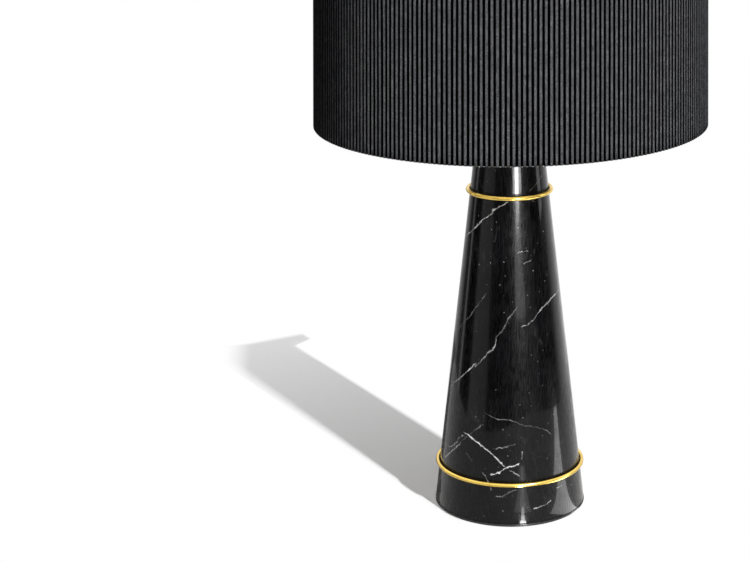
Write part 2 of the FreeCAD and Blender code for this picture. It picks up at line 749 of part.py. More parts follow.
def shade_ring(z):
    """A wire ring that keeps the lining round at a height."""
    radius = lining_radius(z) - SHADE_WIRE_RADIUS - SEAT_GAP
    return wire_ring(radius, SHADE_WIRE_RADIUS, z)


def shade_bottom_ring():
    """The ring at the shade's lower edge."""
    return shade_ring(SHADE_BOTTOM_Z + SHADE_WIRE_RADIUS + 0.2)


def shade_top_ring():
    """The ring at the shade's upper edge."""
    return shade_ring(top_ring_z())


def top_ring_z():
    """Height of the upper ring's wire."""
    return SHADE_BOTTOM_Z + SHADE_HEIGHT - SHADE_WIRE_RADIUS - 0.2


def spider_hub():
    """The washer that sits on the harp's boss."""
    return disc(HUB_RADIUS, HUB_Z, HUB_THICKNESS, HUB_HOLE_RADIUS)


def spider_arm(index):
    """One arm: from the top ring inwards, then down to the hub's rim, trimmed to meet both."""
    ring_z = top_ring_z()
    hub_z = HUB_Z + HUB_THICKNESS / 2
    ring_radius = lining_radius(ring_z) - SHADE_WIRE_RADIUS
    points = [
        V(HUB_RADIUS - 2, 0, hub_z),
        V(SPIDER_DROP_END, 0, hub_z),
        V(SPIDER_DROP_START, 0, ring_z),
        V(ring_radius, 0, ring_z),
    ]
    arm = swept_rod(bent_path(points, SPIDER_BEND_RADIUS), points[0], V(1, 0, 0), SPIDER_WIRE_RADIUS)
    arm = arm.cut(shade_top_ring())
    arm = arm.cut(disc(HUB_RADIUS, HUB_Z - 4, HUB_THICKNESS + 8))
    outer = max(arm.Solids, key=lambda solid: solid.Volume)
    return outer.rotated(AXIS, UP, 90 + 360 * index / SPIDER_ARMS)


def finial():
    """The turned brass finial, blind-bored for the stud."""
    bore = STUD_RADIUS + RUNNING_GAP
    neck_z = FINIAL_Z + FINIAL_NECK_HEIGHT
    ball_drop = math.sqrt(FINIAL_BALL_RADIUS ** 2 - FINIAL_NECK_RADIUS ** 2)
    ball_z = neck_z + ball_drop
    waist_z = (FINIAL_Z + FINIAL_FOOT_HEIGHT + neck_z) / 2
    return turned(
        (bore, FINIAL_Z),
        (FINIAL_FOOT_RADIUS, FINIAL_Z),
        (FINIAL_FOOT_RADIUS, FINIAL_Z + FINIAL_FOOT_HEIGHT),
        ((FINIAL_WAIST_RADIUS, waist_z), (FINIAL_NECK_RADIUS, neck_z)),
        ((FINIAL_BALL_RADIUS, ball_z), (0, ball_z + FINIAL_BALL_RADIUS)),
        (0, FINIAL_Z + FINIAL_BORE_DEPTH),
        (bore, FINIAL_Z + FINIAL_BORE_DEPTH),
    )


SINGLE_PIECES = (
    felt_pad, foot_plate, marble_column, cord_bush, lower_ring, upper_ring,
    threaded_rod, rod_washer, rod_nut, column_cap, neck_spool, harp_saddle,
    harp, harp_stud, harp_sleeve_left, harp_sleeve_right,
    lampholder_cap, cap_set_screw, lampholder_shell, insulating_liner, lampholder_core,
    screw_shell, centre_contact, terminal_screws, switch_stem, switch_knob,
    bulb_glass, bulb_cap, bulb_insulator, bulb_tip,
    shade_cover, shade_lining, shade_bottom_ring, shade_top_ring, spider_hub, finial,
)


def all_pieces():
    """Every piece's name and solid."""
    pieces = {make.__name__: make() for make in SINGLE_PIECES}
    for index in range(SPIDER_ARMS):
        pieces[f"spider_arm_{index + 1}"] = spider_arm(index)
    return pieces


os.makedirs("parts", exist_ok=True)
for name, shape in all_pieces().items():
    shape.exportStep(f"parts/{name}.step")
    box = shape.BoundBox
    print(f"{name}: {len(shape.Solids)} solid, {shape.Volume / 1000:.2f} cm3, valid {shape.isValid()}, "
          f"z {box.ZMin:.1f} to {box.ZMax:.1f}, r {max(abs(box.XMin), box.XMax, abs(box.YMin), box.YMax):.1f}")
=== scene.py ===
"""Looks of a column table lamp: a polished black marble cone with two brass rings under a pleated shade.

Every piece is built round the lamp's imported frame. Metres, +Z up, the front is -Y. The lamp stands on the
plane z = 0 and its column is the Z axis.
"""

import logging
import math
import random
from abc import ABC, abstractmethod
from collections.abc import Callable, Sequence
from dataclasses import dataclass
from enum import Enum
from functools import partial, reduce

import bmesh
import bpy
from mathutils import Matrix, Vector

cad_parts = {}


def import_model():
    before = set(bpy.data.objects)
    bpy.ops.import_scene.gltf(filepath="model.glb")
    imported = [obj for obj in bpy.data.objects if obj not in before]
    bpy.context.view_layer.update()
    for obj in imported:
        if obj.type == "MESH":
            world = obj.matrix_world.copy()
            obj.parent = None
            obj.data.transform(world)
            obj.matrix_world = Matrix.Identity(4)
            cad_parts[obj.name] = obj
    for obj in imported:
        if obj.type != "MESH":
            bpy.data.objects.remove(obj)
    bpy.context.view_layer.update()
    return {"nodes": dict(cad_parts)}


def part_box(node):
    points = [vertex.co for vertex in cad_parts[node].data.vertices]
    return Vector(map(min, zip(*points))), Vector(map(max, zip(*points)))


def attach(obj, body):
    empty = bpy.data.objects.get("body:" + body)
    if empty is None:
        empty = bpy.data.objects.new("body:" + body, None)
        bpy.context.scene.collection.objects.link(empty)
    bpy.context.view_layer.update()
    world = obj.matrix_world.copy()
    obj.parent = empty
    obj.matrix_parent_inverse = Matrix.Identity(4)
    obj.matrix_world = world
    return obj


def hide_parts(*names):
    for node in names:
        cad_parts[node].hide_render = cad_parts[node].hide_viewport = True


MM = 0.001
WHITE = (1.0, 1.0, 1.0, 1.0)

Point = tuple[float, float]
Profile = list[Point]
Colour = tuple[float, float, float, float]
Mesh = bpy.types.Mesh
Node = bpy.types.Node
Piece = bpy.types.Object
Shape = bmesh.types.BMesh
Ring = list[bmesh.types.BMVert]
Socket = bpy.types.NodeSocket
Outputs = bpy.types.bpy_prop_collection
Tree = bpy.types.NodeTree
Triple = tuple[float, float, float]
Source = Socket | float | Colour | Triple

log = logging.getLogger("lamp")


class Body(Enum):
    """The bodies of the frame that pieces ride on."""

    BASE = "base"
    SHADE = "shade"
    FINIAL = "finial"
    BULB = "bulb"
    SWITCH = "switch"
    SLEEVE_LEFT = "sleeve_left"
    SLEEVE_RIGHT = "sleeve_right"


class Slot(Enum):
    """The record's material slots."""

    MARBLE = "marble"
    BRASS = "brass"
    BLACK_STEEL = "black_steel"
    FELT = "felt"
    ZINC_STEEL = "zinc_steel"
    NICKEL_WIRE = "nickel_wire"
    HOLDER_BRASS = "holder_brass"
    FIBRE = "fibre"
    PHENOLIC = "phenolic"
    OPAL_GLASS = "opal_glass"
    BULB_METAL = "bulb_metal"
    BULB_BLACK = "bulb_black"
    SOLDER = "solder"
    PLEATED_FABRIC = "pleated_fabric"
    PALE_LINING = "pale_lining"
    WHITE_WIRE = "white_wire"


# Shader nodes


class Graph:
    """Adds nodes to one tree, each joined to what feeds it."""

    def __init__(self, tree: Tree) -> None:
        """Starts on a tree."""
        self.tree = tree

    def add(self, kind: str, **settings: object) -> Node:
        """Adds a shader node.

        Args:
            kind: the node's type without its prefix.
            settings: the node's own properties.

        Returns:
            The node.
        """
        node = self.tree.nodes.new("ShaderNode" + kind)
        for name, value in settings.items():
            setattr(node, name, value)
        return node

    def feed(self, socket: Socket, source: Source) -> None:
        """Joins a source to a socket, or sets a plain value on it.

        Args:
            socket: the socket.
            source: what feeds it.
        """
        if isinstance(source, Socket):
            self.tree.links.new(source, socket)
        else:
            socket.default_value = source

    def math(self, operation: str, *sources: Source, clamp: bool = False) -> Socket:
        """A number worked out from one to three others.

        Args:
            operation: the operation's name.
            sources: its numbers.
            clamp: whether the result stays between none and one.

        Returns:
            The number.
        """
        node = self.add("Math", operation=operation, use_clamp=clamp)
        for socket, source in zip(node.inputs, sources):
            self.feed(socket, source)
        return node.outputs[0]

    def highest(self, *sources: Source) -> Socket:
        """The greatest of several numbers."""
        return reduce(partial(self.math, "MAXIMUM"), sources)

    def times(self, *sources: Source) -> Socket:
        """The product of several numbers."""
        return reduce(partial(self.math, "MULTIPLY"), sources)

    def parts(self, vector: Source) -> Sequence[Socket]:
        """A vector's three parts.

        Args:
            vector: the vector.

        Returns:
            The parts along X, Y and Z.
        """
        node = self.add("SeparateXYZ")
        self.feed(node.inputs[0], vector)
        return tuple(node.outputs)

    def pair(self, first: Source, second: Source) -> Socket:
        """A flat vector of two numbers.

        Args:
            first: its part along X.
            second: its part along Y.

        Returns:
            The vector.
        """
        node = self.add("CombineXYZ")
        self.feed(node.inputs[0], first)
        self.feed(node.inputs[1], second)
        return node.outputs[0]

    def span(self, value: Source, low: Source, high: Source, start: Source = 0.0, end: Source = 1.0) -> Socket:
        """A value eased from start to end while it runs from low to high.

        Args:
            value: the value.
            low: where the run starts.
            high: where it ends.
            start: the result there at first.
            end: the result at the end.

        Returns:
            The eased value.
        """
        node = self.add("MapRange", interpolation_type="SMOOTHSTEP")
        for socket, source in zip(node.inputs, (value, low, high, start, end)):
            self.feed(socket, source)
        return node.outputs[0]

    def blend(self, factor: Source, first: Source, second: Source) -> Socket:
        """A colour between two colours.

        Args:
            factor: the share of the second.
            first: one colour.
            second: the other.

        Returns:
            The mixed colour.
        """
        node = self.add("Mix", data_type="RGBA")
        for index, source in ((0, factor), (6, first), (7, second)):
            self.feed(node.inputs[index], source)
        return node.outputs[2]

    def object_place(self) -> Socket:
        """The point on the lamp, in metres."""
        return self.add("TexCoord").outputs["Object"]

    def stretched(self, vector: Source, scale: Triple, turn: Triple = (0, 0, 0)) -> Socket:
        """A vector turned, then scaled along each axis.

        Args:
            vector: the vector.
            scale: the scale along each axis.
            turn: the turn about each, in radians.

        Returns:
            The new vector.
        """
        node = self.add("Mapping")
        self.fill(node, Vector=vector, Rotation=turn, Scale=scale)
        return node.outputs[0]

    def noise(
        self, vector: Source, scale: Source, detail: float = 2.0, roughness: float = 0.5, warp: float = 0.0
    ) -> Socket:
        """Soft random values round one half.

        Args:
            vector: where it is read.
            scale: how fine it is.
            detail: how many finer layers it has.
            roughness: how strong they are.
            warp: how far it is drawn about.

        Returns:
            The values.
        """
        node = self.add("TexNoise")
        self.fill(node, Vector=vector, Scale=scale, Detail=detail, Roughness=roughness, Distortion=warp)
        return node.outputs[0]

    def fill(self, node: Node, **sources: Source) -> None:
        """Feeds a node's inputs. An underscore in a name stands for a space in its socket's name."""
        for name, source in sources.items():
            self.feed(node.inputs[name.replace("_", " ")], source)

    def group(self, effect: "Effect", **sources: Source) -> Outputs:
        """Places an effect's node group.

        Args:
            effect: the effect.
            sources: what feeds its inputs.

        Returns:
            The group's outputs by name.
        """
        node = self.add("Group")
        node.node_tree = effect.tree()
        self.fill(node, **sources)
        return node.outputs

    def bump(self, shader: Node, height: Source, depth: float) -> None:
        """Raises a shader's surface by a height map of that depth in metres.

        Args:
            shader: the shader.
            height: the height map.
            depth: its depth in metres.
        """
        node = self.add("Bump")
        self.fill(node, Strength=1.0, Distance=depth, Height=height)
        self.fill(shader, Normal=node.outputs[0])


Given = dict[str, Socket]
GroupBody = Callable[[Graph, Given], Given]


@dataclass(frozen=True)
class Effect:
    """A surface effect kept as one node group, with named inputs and outputs.

    Each input is its name with a default: a number, or None for a vector.
    """

    name: str
    inputs: dict[str, float | None]
    outputs: tuple[str, ...]
    body: GroupBody

    def tree(self) -> Tree:
        """The group's tree, built when it is first asked for.

        Returns:
            The tree.
        """
        if self.name in bpy.data.node_groups:
            return bpy.data.node_groups[self.name]
        tree = bpy.data.node_groups.new(self.name, "ShaderNodeTree")
        for name, default in self.inputs.items():
            kind = "NodeSocketVector" if default is None else "NodeSocketFloat"
            socket = tree.interface.new_socket(name=name, in_out="INPUT", socket_type=kind)
            if default is not None:
                socket.default_value = default
        for name in self.outputs:
            tree.interface.new_socket(name=name, in_out="OUTPUT", socket_type="NodeSocketFloat")
        entry = tree.nodes.new("NodeGroupInput")
        way_out = tree.nodes.new("NodeGroupOutput")
        given = {name: entry.outputs[name] for name in self.inputs}
        for name, socket in self.body(Graph(tree), given).items():
            tree.links.new(socket, way_out.inputs[name])
        return tree


def edge_wear_body(graph: Graph, given: Given) -> Given:
    """Worn places on outward edges, broken up by noise.

    Args:
        graph: the group's nodes.
        given: its inputs.

    Returns:
        Its outputs.
    """
    edge = graph.add("NewGeometry").outputs["Pointiness"]
    raised = graph.span(edge, 0.502, 0.56)
    patchy = graph.span(graph.noise(given["Place"], 900.0, 3.0), 0.35, 0.62)
    return {"Mask": graph.times(raised, patchy, given["Amount"])}


def grain_body(graph: Graph, given: Given) -> Given:
    """Fine random grain of a size in metres, with a coarser cloud over it.

    Args:
        graph: the group's nodes.
        given: its inputs.

    Returns:
        Its outputs.
    """
    per_metre = graph.math("DIVIDE", 1.0, given["Size"])
    fine = graph.noise(given["Place"], per_metre, 3.0, 0.65)
    coarse = graph.noise(given["Place"], graph.times(per_metre, 0.13), 2.0)
    return {
        "Height": fine,
        "Mask": graph.span(fine, 0.36, 0.66),
        "Cloud": graph.span(coarse, 0.3, 0.7),
    }


def scratches_body(graph: Graph, given: Given) -> Given:
    """Hairline scratches in two directions and soft rubbed patches.

    Args:
        graph: the group's nodes.
        given: its inputs.

    Returns:
        Its outputs.
    """
    hairs = []
    for turn in ((0.3, 0.9, 0.4), (1.3, 0.2, 2.1)):
        lines = graph.noise(graph.stretched(given["Place"], (60.0, 2600.0, 380.0), turn), 1.0, 2.0, 0.6)
        hairs.append(graph.span(lines, 0.67, 0.72))
    rubbed = graph.span(graph.noise(given["Place"], 75.0, 4.0, 0.6), 0.4, 0.7)
    return {"Mask": graph.highest(*hairs), "Rubbed": rubbed}


def spin_body(graph: Graph, given: Given) -> Given:
    """Fine rings left by turning about an axis: given how far along and how far out, in metres."""
    lines = graph.pair(graph.times(given["Along"], 5200.0), graph.times(given["Out"], 5200.0))
    return {"Height": graph.noise(lines, 1.0, 2.0, 0.7)}


def weave_body(graph: Graph, given: Given) -> Given:
    """Plain weave from two runs of threads, given places along both in metres and a thread pitch.

    Args:
        graph: the group's nodes.
        given: its inputs.

    Returns:
        Its outputs.
    """
    turns = graph.math("DIVIDE", math.pi, given["Pitch"])
    warp = graph.math("SINE", graph.times(given["Across"], turns))
    weft = graph.math("SINE", graph.times(given["Along"], turns))
    crossing = graph.times(warp, weft)
    return {"Height": graph.math("MULTIPLY_ADD", crossing, 0.5, 0.5)}


def fold_shade_body(graph: Graph, given: Given) -> Given:
    """Painted shade for pleated cloth: none on a rib's crown, full on its walls and in its slot.

    Args:
        graph: the group's nodes.
        given: its inputs.

    Returns:
        Its outputs.
    """
    turn = graph.math("FRACT", graph.math("DIVIDE", given["Across"], given["Rib"]))
    off = graph.math("ABSOLUTE", graph.math("MULTIPLY_ADD", turn, 2.0, -1.0))
    return {"Mask": graph.span(off, 0.17, 0.35)}


def dust_body(graph: Graph, given: Given) -> Given:
    """Thin dust on upward faces.

    Args:
        graph: the group's nodes.
        given: its inputs.

    Returns:
        Its outputs.
    """
    up = graph.parts(graph.add("NewGeometry").outputs["Normal"])[2]
    facing = graph.span(up, 0.3, 1.0)
    patchy = graph.span(graph.noise(given["Place"], 160.0, 5.0, 0.7), 0.4, 0.75)
    return {"Mask": graph.times(facing, patchy, given["Amount"])}


def unrolled_body(graph: Graph, given: Given) -> Given:
    """The column's skin laid flat, in millimetres: how far round from the front, and the height.

    Args:
        graph: the group's nodes.
        given: its inputs.

    Returns:
        Its outputs.
    """
    east, north, up = graph.parts(given["Place"])
    angle = graph.math("ARCTAN2", east, graph.times(north, -1.0))
    squares = graph.math("ADD", graph.times(east, east), graph.times(north, north))
    radius = graph.math("SQRT", squares)
    arc = graph.times(angle, graph.times(radius, 1.0 / MM))
    return {"Arc": arc, "Height": graph.times(up, 1.0 / MM)}


def polish_body(graph: Graph, given: Given) -> Given:
    """Marks that the polishing left: fine upright wipes and dull patches.

    Args:
        graph: the group's nodes.
        given: its inputs.

    Returns:
        Its outputs.
    """
    flat = graph.pair(given["Arc"], given["Height"])
    wipes = graph.noise(graph.stretched(flat, (0.7, 0.07, 1.0), (0, 0, 0.05)), 1.0, 4.0, 0.75)
    patches = graph.noise(graph.stretched(flat, (0.16, 0.06, 1.0)), 1.0, 3.0, 0.65, 0.6)
    return {
        "Wipes": graph.span(wipes, 0.36, 0.66),
        "Patches": graph.span(patches, 0.38, 0.64),
        "Height": wipes,
    }


def vein_line_body(graph: Graph, given: Given) -> Given:
    """Places along and across a straight line on the flat skin: a share of its length, and millimetres.

    Args:
        graph: the group's nodes.
        given: its inputs.

    Returns:
        Its outputs.
    """
    east = graph.math("SUBTRACT", given["Arc"], given["Start Arc"])
    north = graph.math("SUBTRACT", given["Height"], given["Start Height"])
    cosine = graph.math("COSINE", given["Heading"])
    sine = graph.math("SINE", given["Heading"])
    along = graph.math("ADD", graph.times(east, cosine), graph.times(north, sine))
    across = graph.math("SUBTRACT", graph.times(north, cosine), graph.times(east, sine))
    return {"Share": graph.math("DIVIDE", along, given["Length"]), "Across": across}


def vein_stroke_body(graph: Graph, given: Given) -> Given:
    """One broken white line along a wandering path, thin at both ends.

    Args:
        graph: the group's nodes.
        given: its inputs.

    Returns:
        Its outputs.
    """
    ragged = graph.noise(given["Place"], 240.0, 6.0, 0.8)
    sway = graph.times(graph.math("SUBTRACT", ragged, 0.5), 7.0)
    off = graph.math("SUBTRACT", graph.math("SUBTRACT", given["Across"], given["Offset"]), sway)
    far = graph.math("ABSOLUTE", off)
    swell = graph.noise(given["Place"], 70.0, 2.0, 0.6)
    width = graph.times(given["Width"], graph.span(swell, 0.3, 0.7, 0.35, 1.6))
    line = graph.span(far, graph.times(width, 0.4), width, 1.0, 0.0)
    haze = graph.span(far, 0.0, graph.times(width, 3.0), 0.05, 0.0)
    entry = graph.span(given["Share"], 0.0, 0.07)
    leave = graph.span(given["Share"], 0.93, 1.0, 1.0, 0.0)
    ends = graph.times(entry, leave)
    gaps = graph.span(graph.noise(given["Place"], 120.0, 2.0, 0.6), 0.28, 0.5, 0.25, 1.0)
    body = graph.times(graph.math("MAXIMUM", line, haze), graph.times(ends, gaps))
    return {"Mask": graph.times(body, given["Strength"])}


def hairlines_body(graph: Graph, given: Given) -> Given:
    """Faint short hairline veins all through the stone, most of them slanting one way.

    Args:
        graph: the group's nodes.
        given: its inputs.

    Returns:
        Its outputs.
    """
    slanted = graph.stretched(given["Place"], (1.0, 1.0, 0.55), (0.5, -0.6, 0.3))
    field = graph.noise(slanted, given["Scale"], 5.0, 0.62, 0.8)
    ridge = graph.span(graph.math("ABSOLUTE", graph.math("SUBTRACT", field, 0.5)), 0.0, given["Width"], 1.0, 0.0)
    sparse = graph.span(graph.noise(given["Place"], 17.0, 2.0, 0.5), 0.52, 0.66)
    return {"Mask": graph.times(ridge, sparse)}


def specks_body(graph: Graph, given: Given) -> Given:
    """Small pale specks scattered over the stone's flat skin, so many to a millimetre.

    Args:
        graph: the group's nodes.
        given: its inputs.

    Returns:
        Its outputs.
    """
    flat = graph.pair(given["Arc"], given["Height"])
    cells = graph.add("TexVoronoi", voronoi_dimensions="2D")
    graph.fill(cells, Vector=graph.stretched(flat, (1.0, 1.0, 1.0), (0, 0, 0.63)), Scale=given["Density"])
    chosen = graph.add("SeparateColor")
    graph.feed(chosen.inputs[0], cells.outputs["Color"])
    size = graph.span(chosen.outputs[0], 0.55, 1.0, 0.0, 0.065)
    spot = graph.span(cells.outputs["Distance"], graph.times(size, 0.4), size, 1.0, 0.0)
    return {"Mask": graph.times(spot, graph.span(chosen.outputs[1], 0.2, 1.0, 0.2, 1.0))}


EDGE_WEAR = Effect("edge wear", {"Place": None, "Amount": 1.0}, ("Mask",), edge_wear_body)
GRAIN = Effect("grain", {"Place": None, "Size": 1.0 * MM}, ("Height", "Mask", "Cloud"), grain_body)
SCRATCHES = Effect("scratches", {"Place": None}, ("Mask", "Rubbed"), scratches_body)
SPIN = Effect("turning lines", {"Along": 0.0, "Out": 0.0}, ("Height",), spin_body)
WEAVE = Effect("weave", {"Across": 0.0, "Along": 0.0, "Pitch": 0.5 * MM}, ("Height",), weave_body)
# Painted shade in the folds of pleated cloth.
FOLD_SHADE = Effect("fold_shade_mask", {"Across": 0.0, "Rib": 9.7 * MM}, ("Mask",), fold_shade_body)
POLISH = Effect("polish", {"Arc": 0.0, "Height": 0.0}, ("Wipes", "Patches", "Height"), polish_body)
DUST = Effect("dust", {"Place": None, "Amount": 1.0}, ("Mask",), dust_body)
UNROLLED = Effect("unrolled column", {"Place": None}, ("Arc", "Height"), unrolled_body)
VEIN_LINE = Effect(
    "vein line",
    {"Arc": 0.0, "Height": 0.0, "Start Arc": 0.0, "Start Height": 0.0, "Heading": 0.0, "Length": 1.0},
    ("Share", "Across"),
    vein_line_body,
)
VEIN_STROKE = Effect(
    "vein stroke",
    {"Place": None, "Share": 0.0, "Across": 0.0, "Offset": 0.0, "Width": 1.0, "Strength": 1.0},
    ("Mask",),
    vein_stroke_body,
)
HAIRLINES = Effect("hairlines", {"Place": None, "Scale": 10.0, "Width": 0.01}, ("Mask",), hairlines_body)
SPECKS = Effect("specks", {"Arc": 0.0, "Height": 0.0, "Density": 0.1}, ("Mask",), specks_body)


# Finishes


@dataclass(frozen=True)
class Finish(ABC):
    """A finish of the lamp: the record's slot and what paints it."""

    slot: Slot

    def material(self) -> bpy.types.Material:
        """The finish's material, made when it is first asked for.

        Returns:
            The material.
        """
        name = self.slot.value
        if name in bpy.data.materials and bpy.data.materials[name].get("painted"):
            return bpy.data.materials[name]
        made = bpy.data.materials.get(name) or bpy.data.materials.new(name)
        made.use_nodes = True
        made["painted"] = True
        made.node_tree.nodes.clear()
        graph = Graph(made.node_tree)
        shader = graph.add("BsdfPrincipled")
        graph.fill(graph.add("OutputMaterial"), Surface=shader.outputs[0])
        self.paint(graph, shader)
        return made

    @abstractmethod
    def paint(self, graph: Graph, shader: Node) -> None:
        """Feeds the finish's shader."""


@dataclass(frozen=True)
class Vein:
    """A vein on the column's flat skin, in millimetres: round from the front, and height.

    Its bends are places along it, as shares of its length, with how far it strays there to its left.
    """

    start: Point
    end: Point
    bends: tuple[Point, ...] = ()
    width: float = 0.9
    strength: float = 0.6

    @property
    def length(self) -> float:
        """Length of the straight line from start to end."""
        return math.dist(self.start, self.end)

    @property
    def heading(self) -> float:
        """Direction of that line."""
        return math.atan2(self.end[1] - self.start[1], self.end[0] - self.start[0])


FRONT_VEINS = (
    Vein((-64, 295), (-3, 341), ((0.34, -1), (0.55, 0), (0.65, -0.5), (0.78, 1.5), (0.9, 0)), 1.3, 0.95),
    Vein((17, 348), (43, 366), (), 0.6, 0.3),
    Vein((7, 211), (69, 238), ((0.12, -1), (0.28, 1), (0.36, 4), (0.58, 5.5), (0.74, 5)), 0.9, 0.6),
    Vein((-43, 165), (-18, 201), ((0.3, -2), (0.62, -3.5), (0.7, -5)), 1.0, 0.6),
    Vein((-19, 199), (5, 233), ((0.3, -1), (0.6, 0.5)), 0.7, 0.28),
    Vein((-86, 134), (-40, 171), ((0.2, -0.5), (0.5, -1.5), (0.75, -1)), 1.3, 0.8),
    Vein((-80, 194), (-27, 246), ((0.3, -4), (0.55, -4.5), (0.8, -2)), 0.6, 0.3),
    Vein((-59, 94), (-9, 63), ((0.13, 3), (0.33, 4.5), (0.5, 5), (0.66, 4.5), (0.81, 3)), 1.7, 1.0),
    Vein((-26, 55), (6, 68), ((0.25, -0.5), (0.5, 0.5), (0.6, 1.5), (0.83, 0)), 1.4, 0.9),
    Vein((-6, 61), (6, 55), (), 0.7, 0.4),
    Vein((-94, 56), (-60, 84), ((0.4, -1), (0.8, -1)), 1.1, 0.6),
    Vein((-61, 83), (-32, 108), ((0.5, 0.5),), 0.7, 0.22),
    Vein((-86, 71), (-54, 91), ((0.27, -2.5), (0.5, -1.5), (0.8, 2)), 0.9, 0.5),
    Vein((-32, 121), (42, 91), ((0.12, -0.5), (0.21, 0), (0.36, 4), (0.57, 4), (0.72, 6), (0.9, 5)), 0.6, 0.35),
    Vein((-23, 83), (2, 89), ((0.35, -0.5),), 0.6, 0.35),
    Vein((8.5, 81), (7.5, 72), (), 0.5, 0.4),
    Vein((-54, 73), (-46, 67), (), 0.6, 0.4),
    Vein((-34, 57), (-24, 38), ((0.4, 1),), 0.6, 0.35),
    Vein((4, 287.5), (10, 288), (), 0.9, 0.8),
    Vein((8, 288), (17, 289), (), 0.5, 0.35),
    Vein((11, 276), (20, 279), (), 0.6, 0.35),
    Vein((17, 339.5), (26, 337), (), 0.5, 0.3),
    Vein((-20, 32), (2, 40), ((0.4, -1.5), (0.6, 0)), 0.8, 0.35),
    Vein((-13, 32), (-10, 36), (), 0.9, 0.7),
    Vein((19, 19), (41, 24), ((0.5, -1.5),), 0.9, 0.5),
    Vein((48, 35), (56, 36.5), (), 0.7, 0.5),
)

BACK_VEINS = (
    Vein((80, 290), (150, 352), ((0.3, 3), (0.6, -1), (0.8, 2)), 1.0, 0.7),
    Vein((95, 120), (190, 205), ((0.2, -3), (0.5, 2), (0.8, -1)), 1.3, 0.9),
    Vein((110, 215), (165, 180), ((0.4, 3),), 0.7, 0.4),
    Vein((-200, 60), (-110, 150), ((0.25, -2), (0.5, 3), (0.75, 1)), 1.2, 0.8),
    Vein((-175, 230), (-105, 262), ((0.3, 2), (0.7, -2)), 0.8, 0.5),
    Vein((-150, 330), (-85, 390), ((0.4, -3), (0.8, 1)), 0.8, 0.55),
    Vein((85, 40), (160, 72), ((0.3, 2), (0.6, -2)), 0.9, 0.5),
)


@dataclass(frozen=True)
class PolishedMarble(Finish):
    """Black marble with white veins, polished."""

    stone: Colour = (0.0008, 0.0008, 0.0010, 1.0)
    cloud: Colour = (0.0026, 0.0026, 0.0030, 1.0)
    calcite: Colour = (0.82, 0.82, 0.82, 1.0)
    stray: float = 20.0
    line: float = 0.45
    hairlines: tuple[Triple, ...] = ((9.0, 0.006, 0.02), (23.0, 0.012, 0.015))
    speck_density: float = 0.1
    speck_strength: float = 0.45
    roughness: float = 0.14
    stone_ior: float = 1.20
    coat_ior: float = 1.29
    coat_roughness: float = 0.05
    relief: float = 0.022 * MM
    ring_heights: tuple[float, float] = (45.8 * MM, 343.2 * MM)
    # Height and reach of the painted shade line kept above each ring's wire.
    gap_shade_rise: float = 1.2 * MM
    gap_shade_reach: float = 3.4 * MM

    def vein(self, graph: Graph, place: Socket, skin: Outputs, vein: Vein) -> Socket:
        """Draws one vein.

        Args:
            graph: the material's nodes.
            place: the point on the lamp.
            skin: the group that lays the column flat.
            vein: the vein to draw.

        Returns:
            The vein's mask.
        """
        line = graph.group(
            VEIN_LINE,
            Arc=skin["Arc"],
            Height=skin["Height"],
            Start_Arc=float(vein.start[0]),
            Start_Height=float(vein.start[1]),
            Heading=vein.heading,
            Length=vein.length,
        )
        path = graph.add("FloatCurve")
        curve = path.mapping.curves[0]
        curve.points[0].location = (0.0, 0.5)
        curve.points[1].location = (1.0, 0.5)
        for share, offset in vein.bends:
            curve.points.new(share, 0.5 + offset / self.stray)
        path.mapping.update()
        graph.feed(path.inputs["Value"], line["Share"])
        offset = graph.times(graph.math("SUBTRACT", path.outputs[0], 0.5), self.stray)
        stroke = graph.group(
            VEIN_STROKE,
            Place=place,
            Share=line["Share"],
            Across=line["Across"],
            Offset=offset,
            Width=vein.width * self.line,
            Strength=vein.strength,
        )
        return stroke["Mask"]

    def ring_gap_shade(self, graph: Graph, place: Socket) -> Socket:
        """Painted shade: a dull black line just above each ring's wire, where the coat's reflection is taken away to
        stand in for the dark gap between ring and stone.

        Args:
            graph: the material's nodes.
            place: the point on the lamp.

        Returns:
            The lines' mask.
        """
        up = graph.parts(place)[2]
        lines = []
        for height in self.ring_heights:
            gap = graph.math("ABSOLUTE", graph.math("SUBTRACT", up, height + self.gap_shade_rise))
            lines.append(graph.span(gap, self.gap_shade_reach - 1.0 * MM, self.gap_shade_reach, 1.0, 0.0))
        return graph.highest(*lines)

    def paint(self, graph: Graph, shader: Node) -> None:
        """Paints clouds, veins, hairlines and specks, under a polish with soft marks.

        Args:
            graph: the material's nodes.
            shader: its shader.
        """
        place = graph.object_place()
        skin = graph.group(UNROLLED, Place=place)
        lines = [self.vein(graph, place, skin, vein) for vein in FRONT_VEINS + BACK_VEINS]
        for scale, width, strength in self.hairlines:
            hairs = graph.group(HAIRLINES, Place=place, Scale=scale, Width=width)
            lines.append(graph.times(hairs["Mask"], strength))
        specks = graph.group(SPECKS, Arc=skin["Arc"], Height=skin["Height"], Density=self.speck_density)
        grain = graph.group(GRAIN, Place=place, Size=4.0 * MM)
        marks = graph.group(SCRATCHES, Place=place)
        white = graph.highest(*lines, graph.times(specks["Mask"], self.speck_strength))
        ground = graph.blend(grain["Cloud"], self.stone, self.cloud)
        polish = graph.group(POLISH, Arc=skin["Arc"], Height=skin["Height"])
        wiped = graph.times(polish["Wipes"], 0.20)
        dull = graph.math("MULTIPLY_ADD", polish["Patches"], 0.10, wiped)
        hair = graph.math("MULTIPLY_ADD", marks["Mask"], 0.05, self.roughness)
        film = graph.math("MULTIPLY_ADD", polish["Wipes"], -0.3, 1.0)
        graph.fill(
            shader,
            Base_Color=graph.blend(white, ground, self.calcite),
            Roughness=graph.math("ADD", dull, hair),
            IOR=self.stone_ior,
            # The coat's reflection is taken away along the painted shade line above each ring.
            Coat_Weight=graph.math("MULTIPLY_ADD", self.ring_gap_shade(graph, place), -1.0, film, clamp=True),
            Coat_Roughness=self.coat_roughness,
            Coat_IOR=self.coat_ior,
        )
        relief = graph.math("MULTIPLY_ADD", grain["Height"], 0.2, polish["Height"])
        graph.bump(shader, relief, self.relief)


